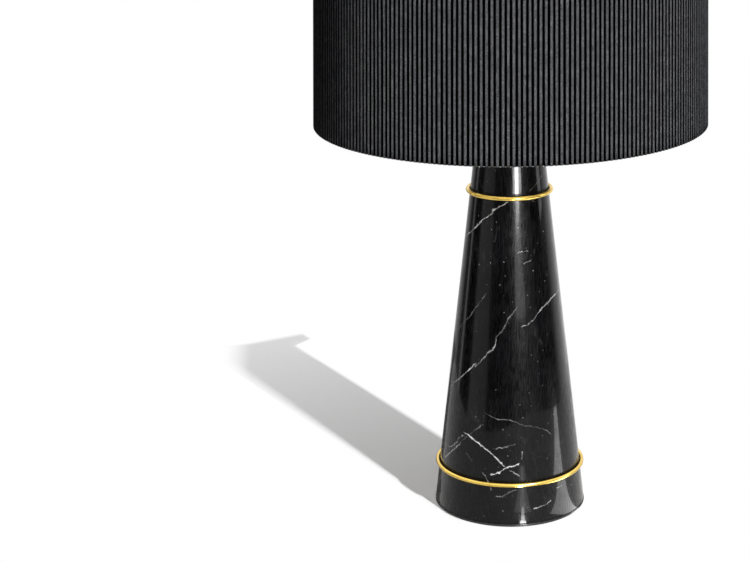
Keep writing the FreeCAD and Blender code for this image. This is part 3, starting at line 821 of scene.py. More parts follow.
@dataclass(frozen=True)
class Metal(Finish):
    """Bare metal, turned, drawn or pressed, polished to some degree."""

    colour: Colour
    dull_colour: Colour
    roughness: float = 0.2
    marks: float = 0.1
    turning: float = 0.0
    wear: float = 0.0

    def paint(self, graph: Graph, shader: Node) -> None:
        """Paints tarnish in the rubbed patches, hairline scratches, tool lines and bright edges.

        Args:
            graph: the material's nodes.
            shader: its shader.
        """
        place = graph.object_place()
        marks = graph.group(SCRATCHES, Place=place)
        grain = graph.group(GRAIN, Place=place, Size=0.9 * MM)
        edges = graph.group(EDGE_WEAR, Place=place, Amount=self.wear)
        part = graph.parts(place)
        lines = graph.group(SPIN, Along=part[2], Out=part[1])
        tarnish = graph.times(marks["Rubbed"], 0.6)
        toned = graph.blend(tarnish, self.colour, self.dull_colour)
        rougher = graph.highest(graph.times(tarnish, 0.7), marks["Mask"])
        graph.fill(
            shader,
            Base_Color=graph.blend(edges["Mask"], toned, self.colour),
            Roughness=graph.math("MULTIPLY_ADD", rougher, self.marks, self.roughness),
            Metallic=1.0,
        )
        tooled = graph.times(lines["Height"], self.turning)
        relief = graph.math("ADD", tooled, graph.times(grain["Height"], 0.25))
        graph.bump(shader, relief, 0.012 * MM)


@dataclass(frozen=True)
class Coating(Finish):
    """Baked paint on metal, with a fine orange peel and worn edges."""

    colour: Colour
    worn_colour: Colour
    roughness: float = 0.42
    peel: float = 1.2 * MM
    wear: float = 0.4
    dust: Colour = (0.4, 0.39, 0.37, 1.0)

    def paint(self, graph: Graph, shader: Node) -> None:
        """Paints the coat, its peel, its worn edges and a little dust.

        Args:
            graph: the material's nodes.
            shader: its shader.
        """
        place = graph.object_place()
        grain = graph.group(GRAIN, Place=place, Size=self.peel)
        edges = graph.group(EDGE_WEAR, Place=place, Amount=self.wear)
        dust = graph.group(DUST, Place=place, Amount=0.12)
        coat = graph.blend(edges["Mask"], self.colour, self.worn_colour)
        graph.fill(
            shader,
            Base_Color=graph.blend(dust["Mask"], coat, self.dust),
            Roughness=graph.math("MULTIPLY_ADD", grain["Cloud"], 0.12, self.roughness),
        )
        graph.bump(shader, grain["Height"], 0.03 * MM)


@dataclass(frozen=True)
class Moulding(Finish):
    """Pressed fibre or moulded resin."""

    colour: Colour
    fleck: Colour
    roughness: float = 0.45
    grain: float = 0.5 * MM

    def paint(self, graph: Graph, shader: Node) -> None:
        """Paints flecks, uneven gloss and a fine grain.

        Args:
            graph: the material's nodes.
            shader: its shader.
        """
        place = graph.object_place()
        grain = graph.group(GRAIN, Place=place, Size=self.grain)
        edges = graph.group(EDGE_WEAR, Place=place, Amount=0.3)
        flecks = graph.times(grain["Mask"], 0.35)
        mixed = graph.blend(graph.highest(flecks, edges["Mask"]), self.colour, self.fleck)
        uneven = graph.math("MULTIPLY_ADD", grain["Cloud"], 0.15, self.roughness)
        graph.fill(shader, Base_Color=mixed, Roughness=uneven)
        graph.bump(shader, grain["Height"], 0.02 * MM)


@dataclass(frozen=True)
class BlownGlass(Finish):
    """Glass that lets no view through: opal white or black."""

    colour: Colour
    shade_colour: Colour
    scatter: float = 0.0
    scatter_reach: Triple = (4.0 * MM, 3.5 * MM, 3.0 * MM)
    dust: Colour = (0.5, 0.49, 0.47, 1.0)

    def paint(self, graph: Graph, shader: Node) -> None:
        """Paints an uneven milky body under a smooth skin.

        Args:
            graph: the material's nodes.
            shader: its shader.
        """
        place = graph.object_place()
        grain = graph.group(GRAIN, Place=place, Size=3.0 * MM)
        dust = graph.group(DUST, Place=place, Amount=0.15)
        milky = graph.blend(grain["Cloud"], self.colour, self.shade_colour)
        graph.fill(
            shader,
            Base_Color=graph.blend(dust["Mask"], milky, self.dust),
            Roughness=graph.span(dust["Mask"], 0.0, 0.2, 0.12, 0.4),
            Subsurface_Weight=self.scatter,
            Subsurface_Radius=self.scatter_reach,
            Coat_Weight=0.4,
            Coat_Roughness=0.05,
        )


@dataclass(frozen=True)
class PressedFelt(Finish):
    """Felt of matted fibres."""

    colour: Colour = (0.018, 0.019, 0.018, 1.0)
    fibre: Colour = (0.07, 0.072, 0.07, 1.0)

    def paint(self, graph: Graph, shader: Node) -> None:
        """Paints matted fibres.

        Args:
            graph: the material's nodes.
            shader: its shader.
        """
        place = graph.object_place()
        grain = graph.group(GRAIN, Place=place, Size=0.45 * MM)
        matted = graph.blend(grain["Mask"], self.colour, self.fibre)
        graph.fill(shader, Base_Color=matted, Roughness=0.95, Sheen_Weight=0.3)
        graph.bump(shader, grain["Height"], 0.3 * MM)


@dataclass(frozen=True)
class PleatedCloth(Finish):
    """Black woven cloth folded in ribs, its map laid out in metres across and along the cloth."""

    colour: Colour = (0.033, 0.034, 0.037, 1.0)
    thread: Colour = (0.23, 0.232, 0.241, 1.0)
    # The near-black of the painted shade on the ribs' walls and in their slots.
    fold_shade: Colour = (0.0012, 0.0012, 0.0015, 1.0)
    dust: Colour = (0.3, 0.29, 0.28, 1.0)
    pitch: float = 0.42 * MM
    rib: float = 9.7 * MM

    def paint(self, graph: Graph, shader: Node) -> None:
        """Paints the weave, pale thread ends, slow changes of tone, and painted shade that darkens the ribs' walls
        and slots.

        Args:
            graph: the material's nodes.
            shader: its shader.
        """
        place = graph.object_place()
        across, along, _ = graph.parts(graph.add("TexCoord").outputs["UV"])
        weave = graph.group(WEAVE, Across=across, Along=along, Pitch=self.pitch)
        fold_shade_mask = graph.group(FOLD_SHADE, Across=across, Rib=self.rib)
        grain = graph.group(GRAIN, Place=place, Size=0.9 * MM)
        dust = graph.group(DUST, Place=place, Amount=0.2)
        woven = graph.times(graph.math("ADD", weave["Height"], 0.4), grain["Mask"])
        cloudy = graph.math("MULTIPLY_ADD", grain["Cloud"], 0.35, 0.45)
        threads = graph.blend(graph.times(woven, cloudy), self.colour, self.thread)
        # Painted shade: the ribs' walls and slots turn near-black, standing in for the shade in the folds.
        folded = graph.blend(fold_shade_mask["Mask"], threads, self.fold_shade)
        dusty = graph.blend(dust["Mask"], folded, self.dust)
        graph.fill(shader, Base_Color=dusty, Roughness=0.9, Specular_IOR_Level=0.0)
        relief = graph.math("MULTIPLY_ADD", grain["Height"], 1.5, weave["Height"])
        graph.bump(shader, relief, 0.16 * MM)


@dataclass(frozen=True)
class StiffLining(Finish):
    """Pale laminated lining of a shade."""

    colour: Colour = (0.80, 0.77, 0.70, 1.0)
    mottle: Colour = (0.71, 0.68, 0.61, 1.0)

    def paint(self, graph: Graph, shader: Node) -> None:
        """Paints a paper-like mottle under a faint gloss.

        Args:
            graph: the material's nodes.
            shader: its shader.
        """
        place = graph.object_place()
        grain = graph.group(GRAIN, Place=place, Size=1.6 * MM)
        mottled = graph.blend(graph.times(grain["Mask"], 0.5), self.colour, self.mottle)
        graph.fill(shader, Base_Color=mottled, Roughness=0.5)
        graph.bump(shader, grain["Height"], 0.02 * MM)


MARBLE = PolishedMarble(Slot.MARBLE)
BRASS = Metal(Slot.BRASS, (0.93, 0.65, 0.15, 1.0), (0.80, 0.51, 0.10, 1.0), 0.16, 0.10, 0.3, 0.3)
BLACK_STEEL = Coating(Slot.BLACK_STEEL, (0.008, 0.008, 0.009, 1.0), (0.05, 0.05, 0.052, 1.0))
FELT = PressedFelt(Slot.FELT)
ZINC = Metal(Slot.ZINC_STEEL, (0.62, 0.63, 0.64, 1.0), (0.45, 0.46, 0.46, 1.0), 0.38, 0.2, 0.2, 0.3)
NICKEL = Metal(Slot.NICKEL_WIRE, (0.66, 0.64, 0.60, 1.0), (0.50, 0.48, 0.45, 1.0), 0.24, 0.15, 0.1, 0.2)
HOLDER_BRASS = Metal(Slot.HOLDER_BRASS, (0.78, 0.58, 0.28, 1.0), (0.60, 0.43, 0.19, 1.0), 0.30, 0.2, 0.7, 0.4)
FIBRE = Moulding(Slot.FIBRE, (0.20, 0.13, 0.075, 1.0), (0.34, 0.25, 0.16, 1.0), 0.75)
PHENOLIC = Moulding(Slot.PHENOLIC, (0.011, 0.010, 0.010, 1.0), (0.03, 0.027, 0.025, 1.0), 0.34)
OPAL = BlownGlass(Slot.OPAL_GLASS, (0.86, 0.85, 0.82, 1.0), (0.80, 0.79, 0.76, 1.0), 0.25)
BULB_METAL = Metal(Slot.BULB_METAL, (0.70, 0.69, 0.67, 1.0), (0.56, 0.55, 0.53, 1.0), 0.30, 0.2, 0.3, 0.4)
BULB_BLACK = BlownGlass(Slot.BULB_BLACK, (0.012, 0.012, 0.014, 1.0), (0.02, 0.02, 0.022, 1.0))
SOLDER = Metal(Slot.SOLDER, (0.58, 0.58, 0.59, 1.0), (0.42, 0.42, 0.43, 1.0), 0.35, 0.3, 0.0, 0.3)
CLOTH = PleatedCloth(Slot.PLEATED_FABRIC)
LINING = StiffLining(Slot.PALE_LINING)
WHITE_WIRE = Coating(Slot.WHITE_WIRE, (0.72, 0.71, 0.68, 1.0), (0.5, 0.49, 0.47, 1.0), 0.4, 0.9 * MM, 0.5)


# Outlines and meshes


def arc(start: Point, via: Point, end: Point, steps: int) -> Profile:
    """Points on the circle through three points.

    Args:
        start: where the arc starts, which isn't among the points returned.
        via: a point on it.
        end: its last point.
        steps: how many points.

    Returns:
        The points after start, the last one being end.
    """
    first, middle, last = (complex(*point) for point in (start, via, end))
    ratio = (last - first) / (middle - first)
    centre = first - (first - middle) * (ratio - abs(ratio) ** 2) / (2j * ratio.imag)
    spoke = first - centre
    turn = math.atan2(((last - centre) / spoke).imag, ((last - centre) / spoke).real)
    half = math.atan2(((middle - centre) / spoke).imag, ((middle - centre) / spoke).real)
    if half * turn < 0 or abs(half) > abs(turn):
        turn -= math.copysign(2 * math.pi, turn)
    points = []
    for step in range(1, steps + 1):
        angle = turn * step / steps
        place = centre + spoke * complex(math.cos(angle), math.sin(angle))
        points.append((place.real, place.imag))
    return points


def eased(profile: Profile, radius: float, steps: int = 4) -> Profile:
    """A closed outline with its sharp corners rounded.

    Args:
        profile: the outline's corners in order.
        radius: how far each rounding reaches from its corner.
        steps: points in each rounding, less one.

    Returns:
        The rounded outline.
    """
    rounded: Profile = []
    count = len(profile)
    for index, corner in enumerate(profile):
        here = Vector(corner)
        before = Vector(profile[index - 1]) - here
        after = Vector(profile[(index + 1) % count]) - here
        on_axis = corner[0] < 1e-9
        if on_axis or before.length < 1e-9 or after.length < 1e-9 or before.angle(after) > math.radians(155):
            rounded.append(corner)
            continue
        reach = min(radius, before.length * 0.45, after.length * 0.45)
        entry = here + before.normalized() * reach
        leave = here + after.normalized() * reach
        for step in range(steps + 1):
            t = step / steps
            point = entry * (1 - t) ** 2 + here * 2 * t * (1 - t) + leave * t * t
            rounded.append((point.x, point.y))
    return rounded


def circle(radius: float, wire: float, height: float, steps: int = 24) -> Profile:
    """The outline of a round wire that is turned about the axis."""
    turns = (2 * math.pi * step / steps for step in range(steps))
    return [(radius + wire * math.cos(a), height + wire * math.sin(a)) for a in turns]


Form = Callable[[float, float, float], float]


def turned(name: str, profile: Profile, segments: int = 96, form: Form | None = None) -> Mesh:
    """A mesh turned about the Z axis.

    Args:
        name: the mesh's name.
        profile: points of (radius, height), in order round a closed outline.
        segments: how many steps go round.
        form: gives a changed radius from angle, radius and height, for flutes or threads.

    Returns:
        The mesh, smooth but for its sharp corners.
    """
    shape = bmesh.new()
    rings = []
    for radius, height in profile:
        ring = []
        for step in range(segments):
            angle = 2 * math.pi * step / segments
            reach = form(angle, radius, height) if form else radius
            ring.append(shape.verts.new((reach * math.cos(angle), reach * math.sin(angle), height)))
        rings.append(ring)
    for low, high in zip(rings, rings[1:] + rings[:1]):
        bridge(shape, low, high)
    return finished_mesh(name, shape)


def finished_mesh(name: str, shape: Shape, sharp: float = 38.0) -> Mesh:
    """Merges doubled points, turns faces outwards and shades the mesh smooth below a sharp angle in degrees.

    Args:
        name: the mesh's name.
        shape: its shape, which is used up.
        sharp: the angle above which an edge stays sharp.

    Returns:
        The mesh.
    """
    bmesh.ops.remove_doubles(shape, verts=shape.verts, dist=0.0005 * MM)
    bmesh.ops.dissolve_degenerate(shape, dist=0.0001 * MM, edges=shape.edges)
    bmesh.ops.recalc_face_normals(shape, faces=shape.faces)
    mesh = bpy.data.meshes.new(name)
    shape.to_mesh(mesh)
    shape.free()
    return smoothed(mesh, sharp)


def smoothed(mesh: Mesh, sharp: float = 38.0) -> Mesh:
    """Shades a mesh smooth below a sharp angle in degrees.

    Args:
        mesh: the mesh.
        sharp: the angle above which an edge stays sharp.

    Returns:
        The mesh.
    """
    mesh.shade_smooth()
    mesh.set_sharp_from_angle(angle=math.radians(sharp))
    return mesh


def rod(name: str, path: Sequence[Vector], radius: float, sides: int = 16) -> Mesh:
    """A round rod along a path, with rounded ends.

    Args:
        name: the mesh's name.
        path: the points of its centreline, in order.
        radius: the rod's radius.
        sides: how many sides the rod has.

    Returns:
        The mesh.
    """
    shape = bmesh.new()
    count = len(path)
    rings = []
    side = None
    for index, point in enumerate(path):
        ahead = (path[min(index + 1, count - 1)] - path[max(index - 1, 0)]).normalized()
        side = ahead.orthogonal() if side is None else side - ahead * side.dot(ahead)
        side.normalize()
        other = ahead.cross(side)
        rings.append(rod_ring(shape, point, side, other, radius, sides))
    for index, sign in ((0, -1.0), (-1, 1.0)):
        ahead = (path[-1] - path[-2]).normalized() if sign > 0 else (path[1] - path[0]).normalized()
        side = ahead.orthogonal().normalized()
        tip = path[index] + ahead * sign * radius * 0.25
        cap = rod_ring(shape, tip, side, ahead.cross(side), radius * 0.75, sides)
        matched = nearest_order(rings[index], cap)
        bridge(shape, rings[index], matched)
        shape.faces.new(matched)
    for low, high in zip(rings, rings[1:]):
        bridge(shape, low, high)
    return finished_mesh(name, shape, 60.0)


def rod_ring(shape: Shape, centre: Vector, side: Vector, other: Vector, radius: float, sides: int) -> Ring:
    """One ring of a rod's points."""
    turns = [2 * math.pi * step / sides for step in range(sides)]
    return [shape.verts.new(centre + side * radius * math.cos(a) + other * radius * math.sin(a)) for a in turns]


def nearest_order(ring: Ring, cap: Ring) -> Ring:
    """A smaller ring's points put in the order of the ring that they lie nearest to."""
    return [min(cap, key=lambda point: (point.co - corner.co).length) for corner in ring]


def bridge(shape: Shape, low: Ring, high: Ring) -> None:
    """Joins two rings of points by faces.

    Args:
        shape: the shape they are in.
        low: the first ring.
        high: the second, in the same order.
    """
    count = len(low)
    for step in range(count):
        following = (step + 1) % count
        shape.faces.new((low[step], low[following], high[following], high[step]))


def bent(points: Sequence[Vector], bend: float, steps: int = 8) -> list[Vector]:
    """A path through points, each corner rounded by an arc of one radius.

    Args:
        points: the corners, the first and last of them its ends.
        bend: the arcs' radius.
        steps: points in each arc, less one.

    Returns:
        The path's points.
    """
    path = [points[0]]
    for before, corner, after in zip(points, points[1:], points[2:]):
        inward = (before - corner).normalized()
        outward = (after - corner).normalized()
        half = inward.angle(outward) / 2
        reach = bend / math.tan(half)
        centre = corner + (inward + outward).normalized() * bend / math.sin(half)
        entry = (corner + inward * reach - centre).normalized()
        leave = (corner + outward * reach - centre).normalized()
        for step in range(steps + 1):
            path.append(centre + entry.slerp(leave, step / steps) * bend)
    path.append(points[-1])
    return path


def lying_along_y(mesh: Mesh, height: float) -> Mesh:
    """Turns a mesh from the Z axis to the Y axis, at a height."""
    mesh.transform(Matrix.Translation((0, 0, height)) @ Matrix.Rotation(math.radians(-90), 4, "X"))
    return mesh


def cut_out(mesh: Mesh, cutter: Mesh) -> Mesh:
    """A mesh less the space that another fills.

    Args:
        mesh: the mesh.
        cutter: what is cut out of it.

    Returns:
        The cut mesh.
    """
    target = bpy.data.objects.new("target", mesh)
    tool = bpy.data.objects.new("tool", cutter)
    for piece in (target, tool):
        bpy.context.scene.collection.objects.link(piece)
    cut = target.modifiers.new("cut", "BOOLEAN")
    cut.operation = "DIFFERENCE"
    cut.solver = "EXACT"
    cut.object = tool
    found = bpy.context.evaluated_depsgraph_get()
    result = bpy.data.meshes.new_from_object(target.evaluated_get(found))
    for piece in (target, tool):
        bpy.data.objects.remove(piece)
    return smoothed(result)


# Sub-assemblies


@dataclass
class Extent:
    """Where a node of the frame is: its lowest and highest corner."""

    low: Vector
    high: Vector

    @classmethod
    def of(cls, node: str) -> "Extent":
        """The extent of a node."""
        return cls(*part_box(node))

    @property
    def bottom(self) -> float:
        """Its lowest height."""
        return self.low.z

    @property
    def top(self) -> float:
        """Its greatest height."""
        return self.high.z

    @property
    def radius(self) -> float:
        """Its greatest reach along X."""
        return self.high.x

    @property
    def middle(self) -> Vector:
        """Its middle."""
        return (self.low + self.high) / 2


class Assembly(ABC):
    """A sub-assembly, which builds its pieces and puts each on a body of the frame."""

    def __init_subclass__(cls) -> None:
        """Gives every sub-assembly its own list of built pieces."""
        cls.built = []

    @abstractmethod
    def build(self) -> None:
        """Builds every piece."""

    def place(self, mesh: Mesh, finish: Finish, body: Body, *nodes: str) -> Piece:
        """Makes a piece of a mesh.

        Args:
            mesh: the piece's mesh, in the lamp's own place. Its name becomes the piece's.
            finish: what it is finished in.
            body: the body that it rides on.
            nodes: the frame's nodes that it stands for.

        Returns:
            The piece.
        """
        piece = bpy.data.objects.new(mesh.name, mesh)
        bpy.context.scene.collection.objects.link(piece)
        mesh.materials.clear()
        mesh.materials.append(finish.material())
        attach(piece, body.value)
        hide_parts(*nodes)
        self.built.append(piece)
        return piece

    def dress(self, node: Piece, finish: Finish) -> None:
        """Gives a node of the frame that stays in view its finish.

        Args:
            node: the node.
            finish: its finish.
        """
        node.data.materials.clear()
        node.data.materials.append(finish.material())
        self.built.append(node)

    def report(self) -> None:
        """Logs each piece with its face count."""
        for piece in self.built:
            log.info("%s: %s, %d faces", type(self).__name__, piece.name, len(piece.data.polygons))


@dataclass
class Base(Assembly):
    """The marble column on its foot, with its rings, cord bush and clamping rod."""

    nodes: dict[str, Piece]
    taper: float = 0.1141
    column_bevel: float = 0.8 * MM
    bevel_ease: float = 0.35 * MM
    bore_radius: float = 6.0 * MM
    recess_radius: float = 28.0 * MM
    recess_top: float = 29.0 * MM
    bush_bore: float = 3.5 * MM
    bush_body: float = 4.47 * MM
    bush_flange: float = 2.0 * MM
    seat_gap: float = 0.03 * MM
    cut_over: float = 4 * MM
    round_segments: int = 288

    def build(self) -> None:
        """Builds every piece of the base."""
        self.foot()
        self.column()
        self.rings()
        self.bush()
        for name in ("threaded_rod", "rod_washer", "rod_nut"):
            self.dress(self.nodes[name], ZINC)

    def foot(self) -> None:
        """The felt pad and the steel disc on it."""
        felt = Extent.of("felt_pad")
        pad = [(0.0, felt.bottom), (felt.radius, felt.bottom), (felt.radius, felt.top), (0.0, felt.top)]
        self.place(turned("pad_of_felt", eased(pad, 0.4 * MM), 144), FELT, Body.BASE, "felt_pad")
        disc = Extent.of("foot_plate")
        bevel = 0.4 * MM
        outline = [
            (0.0, disc.bottom),
            (disc.radius - bevel, disc.bottom),
            (disc.radius, disc.bottom + bevel),
            (disc.radius, disc.top),
            (0.0, disc.top),
        ]
        mesh = turned("foot_disc", eased(outline, 0.15 * MM), self.round_segments)
        self.place(mesh, BLACK_STEEL, Body.BASE, "foot_plate")

    def column(self) -> None:
        """The stone cone, its polished bevels, bore, recess and cord hole."""
        stone = Extent.of("marble_column")
        bevel = self.column_bevel
        height = stone.top - stone.bottom - 2 * bevel
        top_radius = stone.radius - self.taper * height
        bush = Extent.of("cord_bush")
        outline = [
            (self.bore_radius, self.recess_top),
            (self.recess_radius, self.recess_top),
            (self.recess_radius, stone.bottom),
            (stone.radius - bevel, stone.bottom),
            (stone.radius, stone.bottom + bevel),
            (top_radius, stone.top - bevel),
            (top_radius - bevel, stone.top),
            (self.bore_radius, stone.top),
        ]
        mesh = turned("column_stone", eased(outline, self.bevel_ease), self.round_segments)
        seat = [
            (0.0, self.recess_radius - self.cut_over),
            (self.bush_body + self.seat_gap, self.recess_radius - self.cut_over),
            (self.bush_body + self.seat_gap, bush.high.y - self.bush_flange),
            (bush.high.x + self.seat_gap, bush.high.y - self.bush_flange),
            (bush.high.x + self.seat_gap, bush.high.y + self.cut_over),
            (0.0, bush.high.y + self.cut_over),
        ]
        tool = lying_along_y(turned("cord_hole", seat, 64), bush.middle.z)
        cut = cut_out(mesh, tool)
        cut.name = "column_of_stone"
        self.place(cut, MARBLE, Body.BASE, "marble_column")

    def rings(self) -> None:
        """The two rings of round brass wire."""
        for node, name in (("lower_ring", "ring_low"), ("upper_ring", "ring_high")):
            ring = Extent.of(node)
            wire = (ring.top - ring.bottom) / 2
            mesh = turned(name, circle(ring.radius - wire, wire, ring.middle.z), self.round_segments)
            self.place(mesh, BRASS, Body.BASE, node)

    def bush(self) -> None:
        """The flanged bush in the back of the column, its mouth rounded."""
        bush = Extent.of("cord_bush")
        outline = [
            (self.bush_bore, bush.low.y),
            (self.bush_body, bush.low.y),
            (self.bush_body, bush.high.y - self.bush_flange),
            (bush.high.x, bush.high.y - self.bush_flange),
            (bush.high.x, bush.high.y),
            (self.bush_bore + 0.8 * MM, bush.high.y),
            *arc(
                (self.bush_bore + 0.8 * MM, bush.high.y),
                (self.bush_bore + 0.234 * MM, bush.high.y - 0.234 * MM),
                (self.bush_bore, bush.high.y - 0.8 * MM),
                6,
            ),
        ]
        mesh = lying_along_y(turned("bush_of_outlet", eased(outline, 0.3 * MM), 64), bush.middle.z)
        self.place(mesh, BLACK_STEEL, Body.BASE, "cord_bush")


@dataclass
class HarpFittings(Assembly):
    """The cap, the neck and the harp that carry the shade."""

    cap_rim: float = 2.0 * MM
    neck_radius: float = 9.0 * MM
    waist_radius: float = 6.8 * MM
    hole_radius: float = 5.0 * MM
    strap: float = 1.6 * MM
    strap_width: float = 12.0 * MM
    strap_bend: float = 3.0 * MM
    tongue_width: float = 2.8 * MM
    tongue_length: float = 6.0 * MM
    leg_x: float = 30.0 * MM
    straight_leg: float = 23.0 * MM
    harp_bend: float = 60.0 * MM
    splay: float = math.radians(16.0)
    boss_radius: float = 5.5 * MM
    boss_height: float = 7.0 * MM
    stud_radius: float = 3.1 * MM

    def build(self) -> None:
        """Builds every fitting."""
        self.cap()
        self.neck()
        self.saddle()
        self.harp()
        self.stud()
        self.sleeves()

    def cap(self) -> None:
        """The domed brass cap."""
        cap = Extent.of("column_cap")
        rim = cap.bottom + self.cap_rim
        collar = (self.neck_radius + 1 * MM, cap.top - 0.6 * MM)
        outline = [
            (self.hole_radius, cap.bottom),
            (cap.radius, cap.bottom),
            (cap.radius, rim),
            *arc((cap.radius, rim), (cap.radius * 0.66, rim + 4 * MM), collar, 24),
            (collar[0], cap.top),
            (self.hole_radius, cap.top),
        ]
        self.place(turned("cap_of_column", eased(outline, 0.3 * MM), 160), BRASS, Body.BASE, "column_cap")

    def neck(self) -> None:
        """The waisted spool."""
        neck = Extent.of("neck_spool")
        radius = self.neck_radius
        low = (radius, neck.bottom + 1 * MM)
        high = (radius, neck.top - 1 * MM)
        outline = [
            (self.hole_radius, neck.bottom),
            (radius, neck.bottom),
            low,
            *arc(low, (self.waist_radius, neck.middle.z), high, 20),
            (radius, neck.top),
            (self.hole_radius, neck.top),
        ]
        self.place(turned("spool_of_neck", eased(outline, 0.2 * MM), 96), BRASS, Body.BASE, "neck_spool")

    def saddle(self) -> None:
        """The strap bent up at both ends, each end narrowing to a tongue."""
        saddle = Extent.of("harp_saddle")
        half = self.strap / 2
        floor = saddle.bottom + half
        corners = [
            Vector((-self.leg_x, 0, saddle.top)),
            Vector((-self.leg_x, 0, floor)),
            Vector((self.leg_x, 0, floor)),
            Vector((self.leg_x, 0, saddle.top)),
        ]
        path = bent(corners, self.strap_bend - half, 10)
        shoulder_z = saddle.top - self.tongue_length
        extra = [Vector((x, 0, z)) for x in (-self.leg_x, self.leg_x) for z in (shoulder_z, shoulder_z - 5 * MM)]
        path = path[:1] + extra[:2] + path[1:-1] + extra[:1:-1] + path[-1:]
        shape = bmesh.new()
        rings = []
        for index, point in enumerate(path):
            ahead = (path[min(index + 1, len(path) - 1)] - path[max(index - 1, 0)]).normalized()
            out = Vector((ahead.z, 0, -ahead.x))
            width = self.tongue_width if point.z > shoulder_z - 0.1 * MM else self.strap_width
            rings.append(self.strap_ring(shape, point, out, width))
        for low, high in zip(rings, rings[1:]):
            bridge(shape, low, high)
        shape.faces.new(rings[0])
        shape.faces.new(rings[-1])
        self.place(finished_mesh("saddle_strap", shape), NICKEL, Body.BASE, "harp_saddle")

    def strap_ring(self, shape: Shape, centre: Vector, out: Vector, width: float) -> Ring:
        """One section of the strap, its corners rubbed off.

        Args:
            shape: the shape it is added to.
            centre: the section's middle.
            out: the way its outer face looks.
            width: its width.

        Returns:
            Its points in order.
        """
        half = self.strap / 2
        side = width / 2
        rub = 0.3 * MM
        places = (
            (-half, -side + rub), (-half + rub, -side), (half - rub, -side), (half, -side + rub),
            (half, side - rub), (half - rub, side), (-half + rub, side), (-half, side - rub),
        )
        return [shape.verts.new(centre + out * depth + Vector((0, across, 0))) for depth, across in places]

    def harp_path(self, foot: float, top: float) -> list[Vector]:
        """The harp's centreline: upright legs, a bend outwards, a slanted run and the arch.

        Args:
            foot: height of the legs' ends.
            top: height of the arch's centreline.

        Returns:
            The points from the left foot to the right one.
        """
        sine = math.sin(self.splay)
        cosine = math.cos(self.splay)
        run_x = self.leg_x + self.harp_bend * (1 - cosine)
        run_z = foot + self.straight_leg + self.harp_bend * sine
        share = (1 + sine) / cosine
        run = (top - run_z - share * run_x) / (cosine + share * sine)
        radius = (run_x + run * sine) / cosine
        centre_z = top - radius
        half = [Vector((self.leg_x, 0, foot))]
        for step in range(13):
            angle = self.splay * step / 12
            x = self.leg_x + self.harp_bend * (1 - math.cos(angle))
            half.append(Vector((x, 0, foot + self.straight_leg + self.harp_bend * math.sin(angle))))
        for step in range(31):
            angle = -self.splay + (math.pi / 2 + self.splay) * step / 30
            half.append(Vector((radius * math.cos(angle), 0, centre_z + radius * math.sin(angle))))
        left = [Vector((-point.x, 0, point.z)) for point in half]
        return left + half[-2::-1]

    def harp(self) -> None:
        """The bent wire."""
        harp = Extent.of("harp")
        wire = harp.high.y
        path = self.harp_path(harp.bottom, harp.top - wire)
        self.place(rod("harp_of_wire", path, wire, 20), NICKEL, Body.BASE, "harp")

    def stud(self) -> None:
        """The boss on the harp's top and its threaded stud."""
        stud = Extent.of("harp_stud")
        boss_top = stud.bottom + self.boss_height
        pitch = 1.0 * MM
        rows = int((stud.top - boss_top) / pitch * 6)
        threaded = [
            (self.stud_radius - 0.25 * MM + 0.25 * MM * math.cos(row * math.pi / 3), boss_top + row * pitch / 6)
            for row in range(1, rows)
        ]
        outline = [
            (0.0, stud.bottom),
            (self.boss_radius, stud.bottom),
            (self.boss_radius, boss_top),
            (self.stud_radius, boss_top),
            *threaded,
            (0.0, stud.top),
        ]
        self.place(turned("stud_of_harp", eased(outline, 0.3 * MM, 3), 48), BRASS, Body.BASE, "harp_stud")

    def sleeves(self) -> None:
        """The two sleeves that lock the harp's legs."""
        for side, body in (("left", Body.SLEEVE_LEFT), ("right", Body.SLEEVE_RIGHT)):
            sleeve = Extent.of(f"harp_sleeve_{side}")
            outer = (sleeve.high.y - sleeve.low.y) / 2
            inner = outer - 1.0 * MM
            groove = outer - 0.35 * MM
            outline = [
                (inner, sleeve.bottom),
                (outer, sleeve.bottom),
                (outer, sleeve.bottom + 1.2 * MM),
                (groove, sleeve.bottom + 1.6 * MM),
                (groove, sleeve.bottom + 2.0 * MM),
                (outer, sleeve.bottom + 2.4 * MM),
                (outer, sleeve.top),
                (inner, sleeve.top),
            ]
            mesh = turned(f"lock_{side}", eased(outline, 0.2 * MM, 3), 40)
            mesh.transform(Matrix.Translation((sleeve.middle.x, 0, 0)))
            self.place(mesh, NICKEL, body, f"harp_sleeve_{side}")


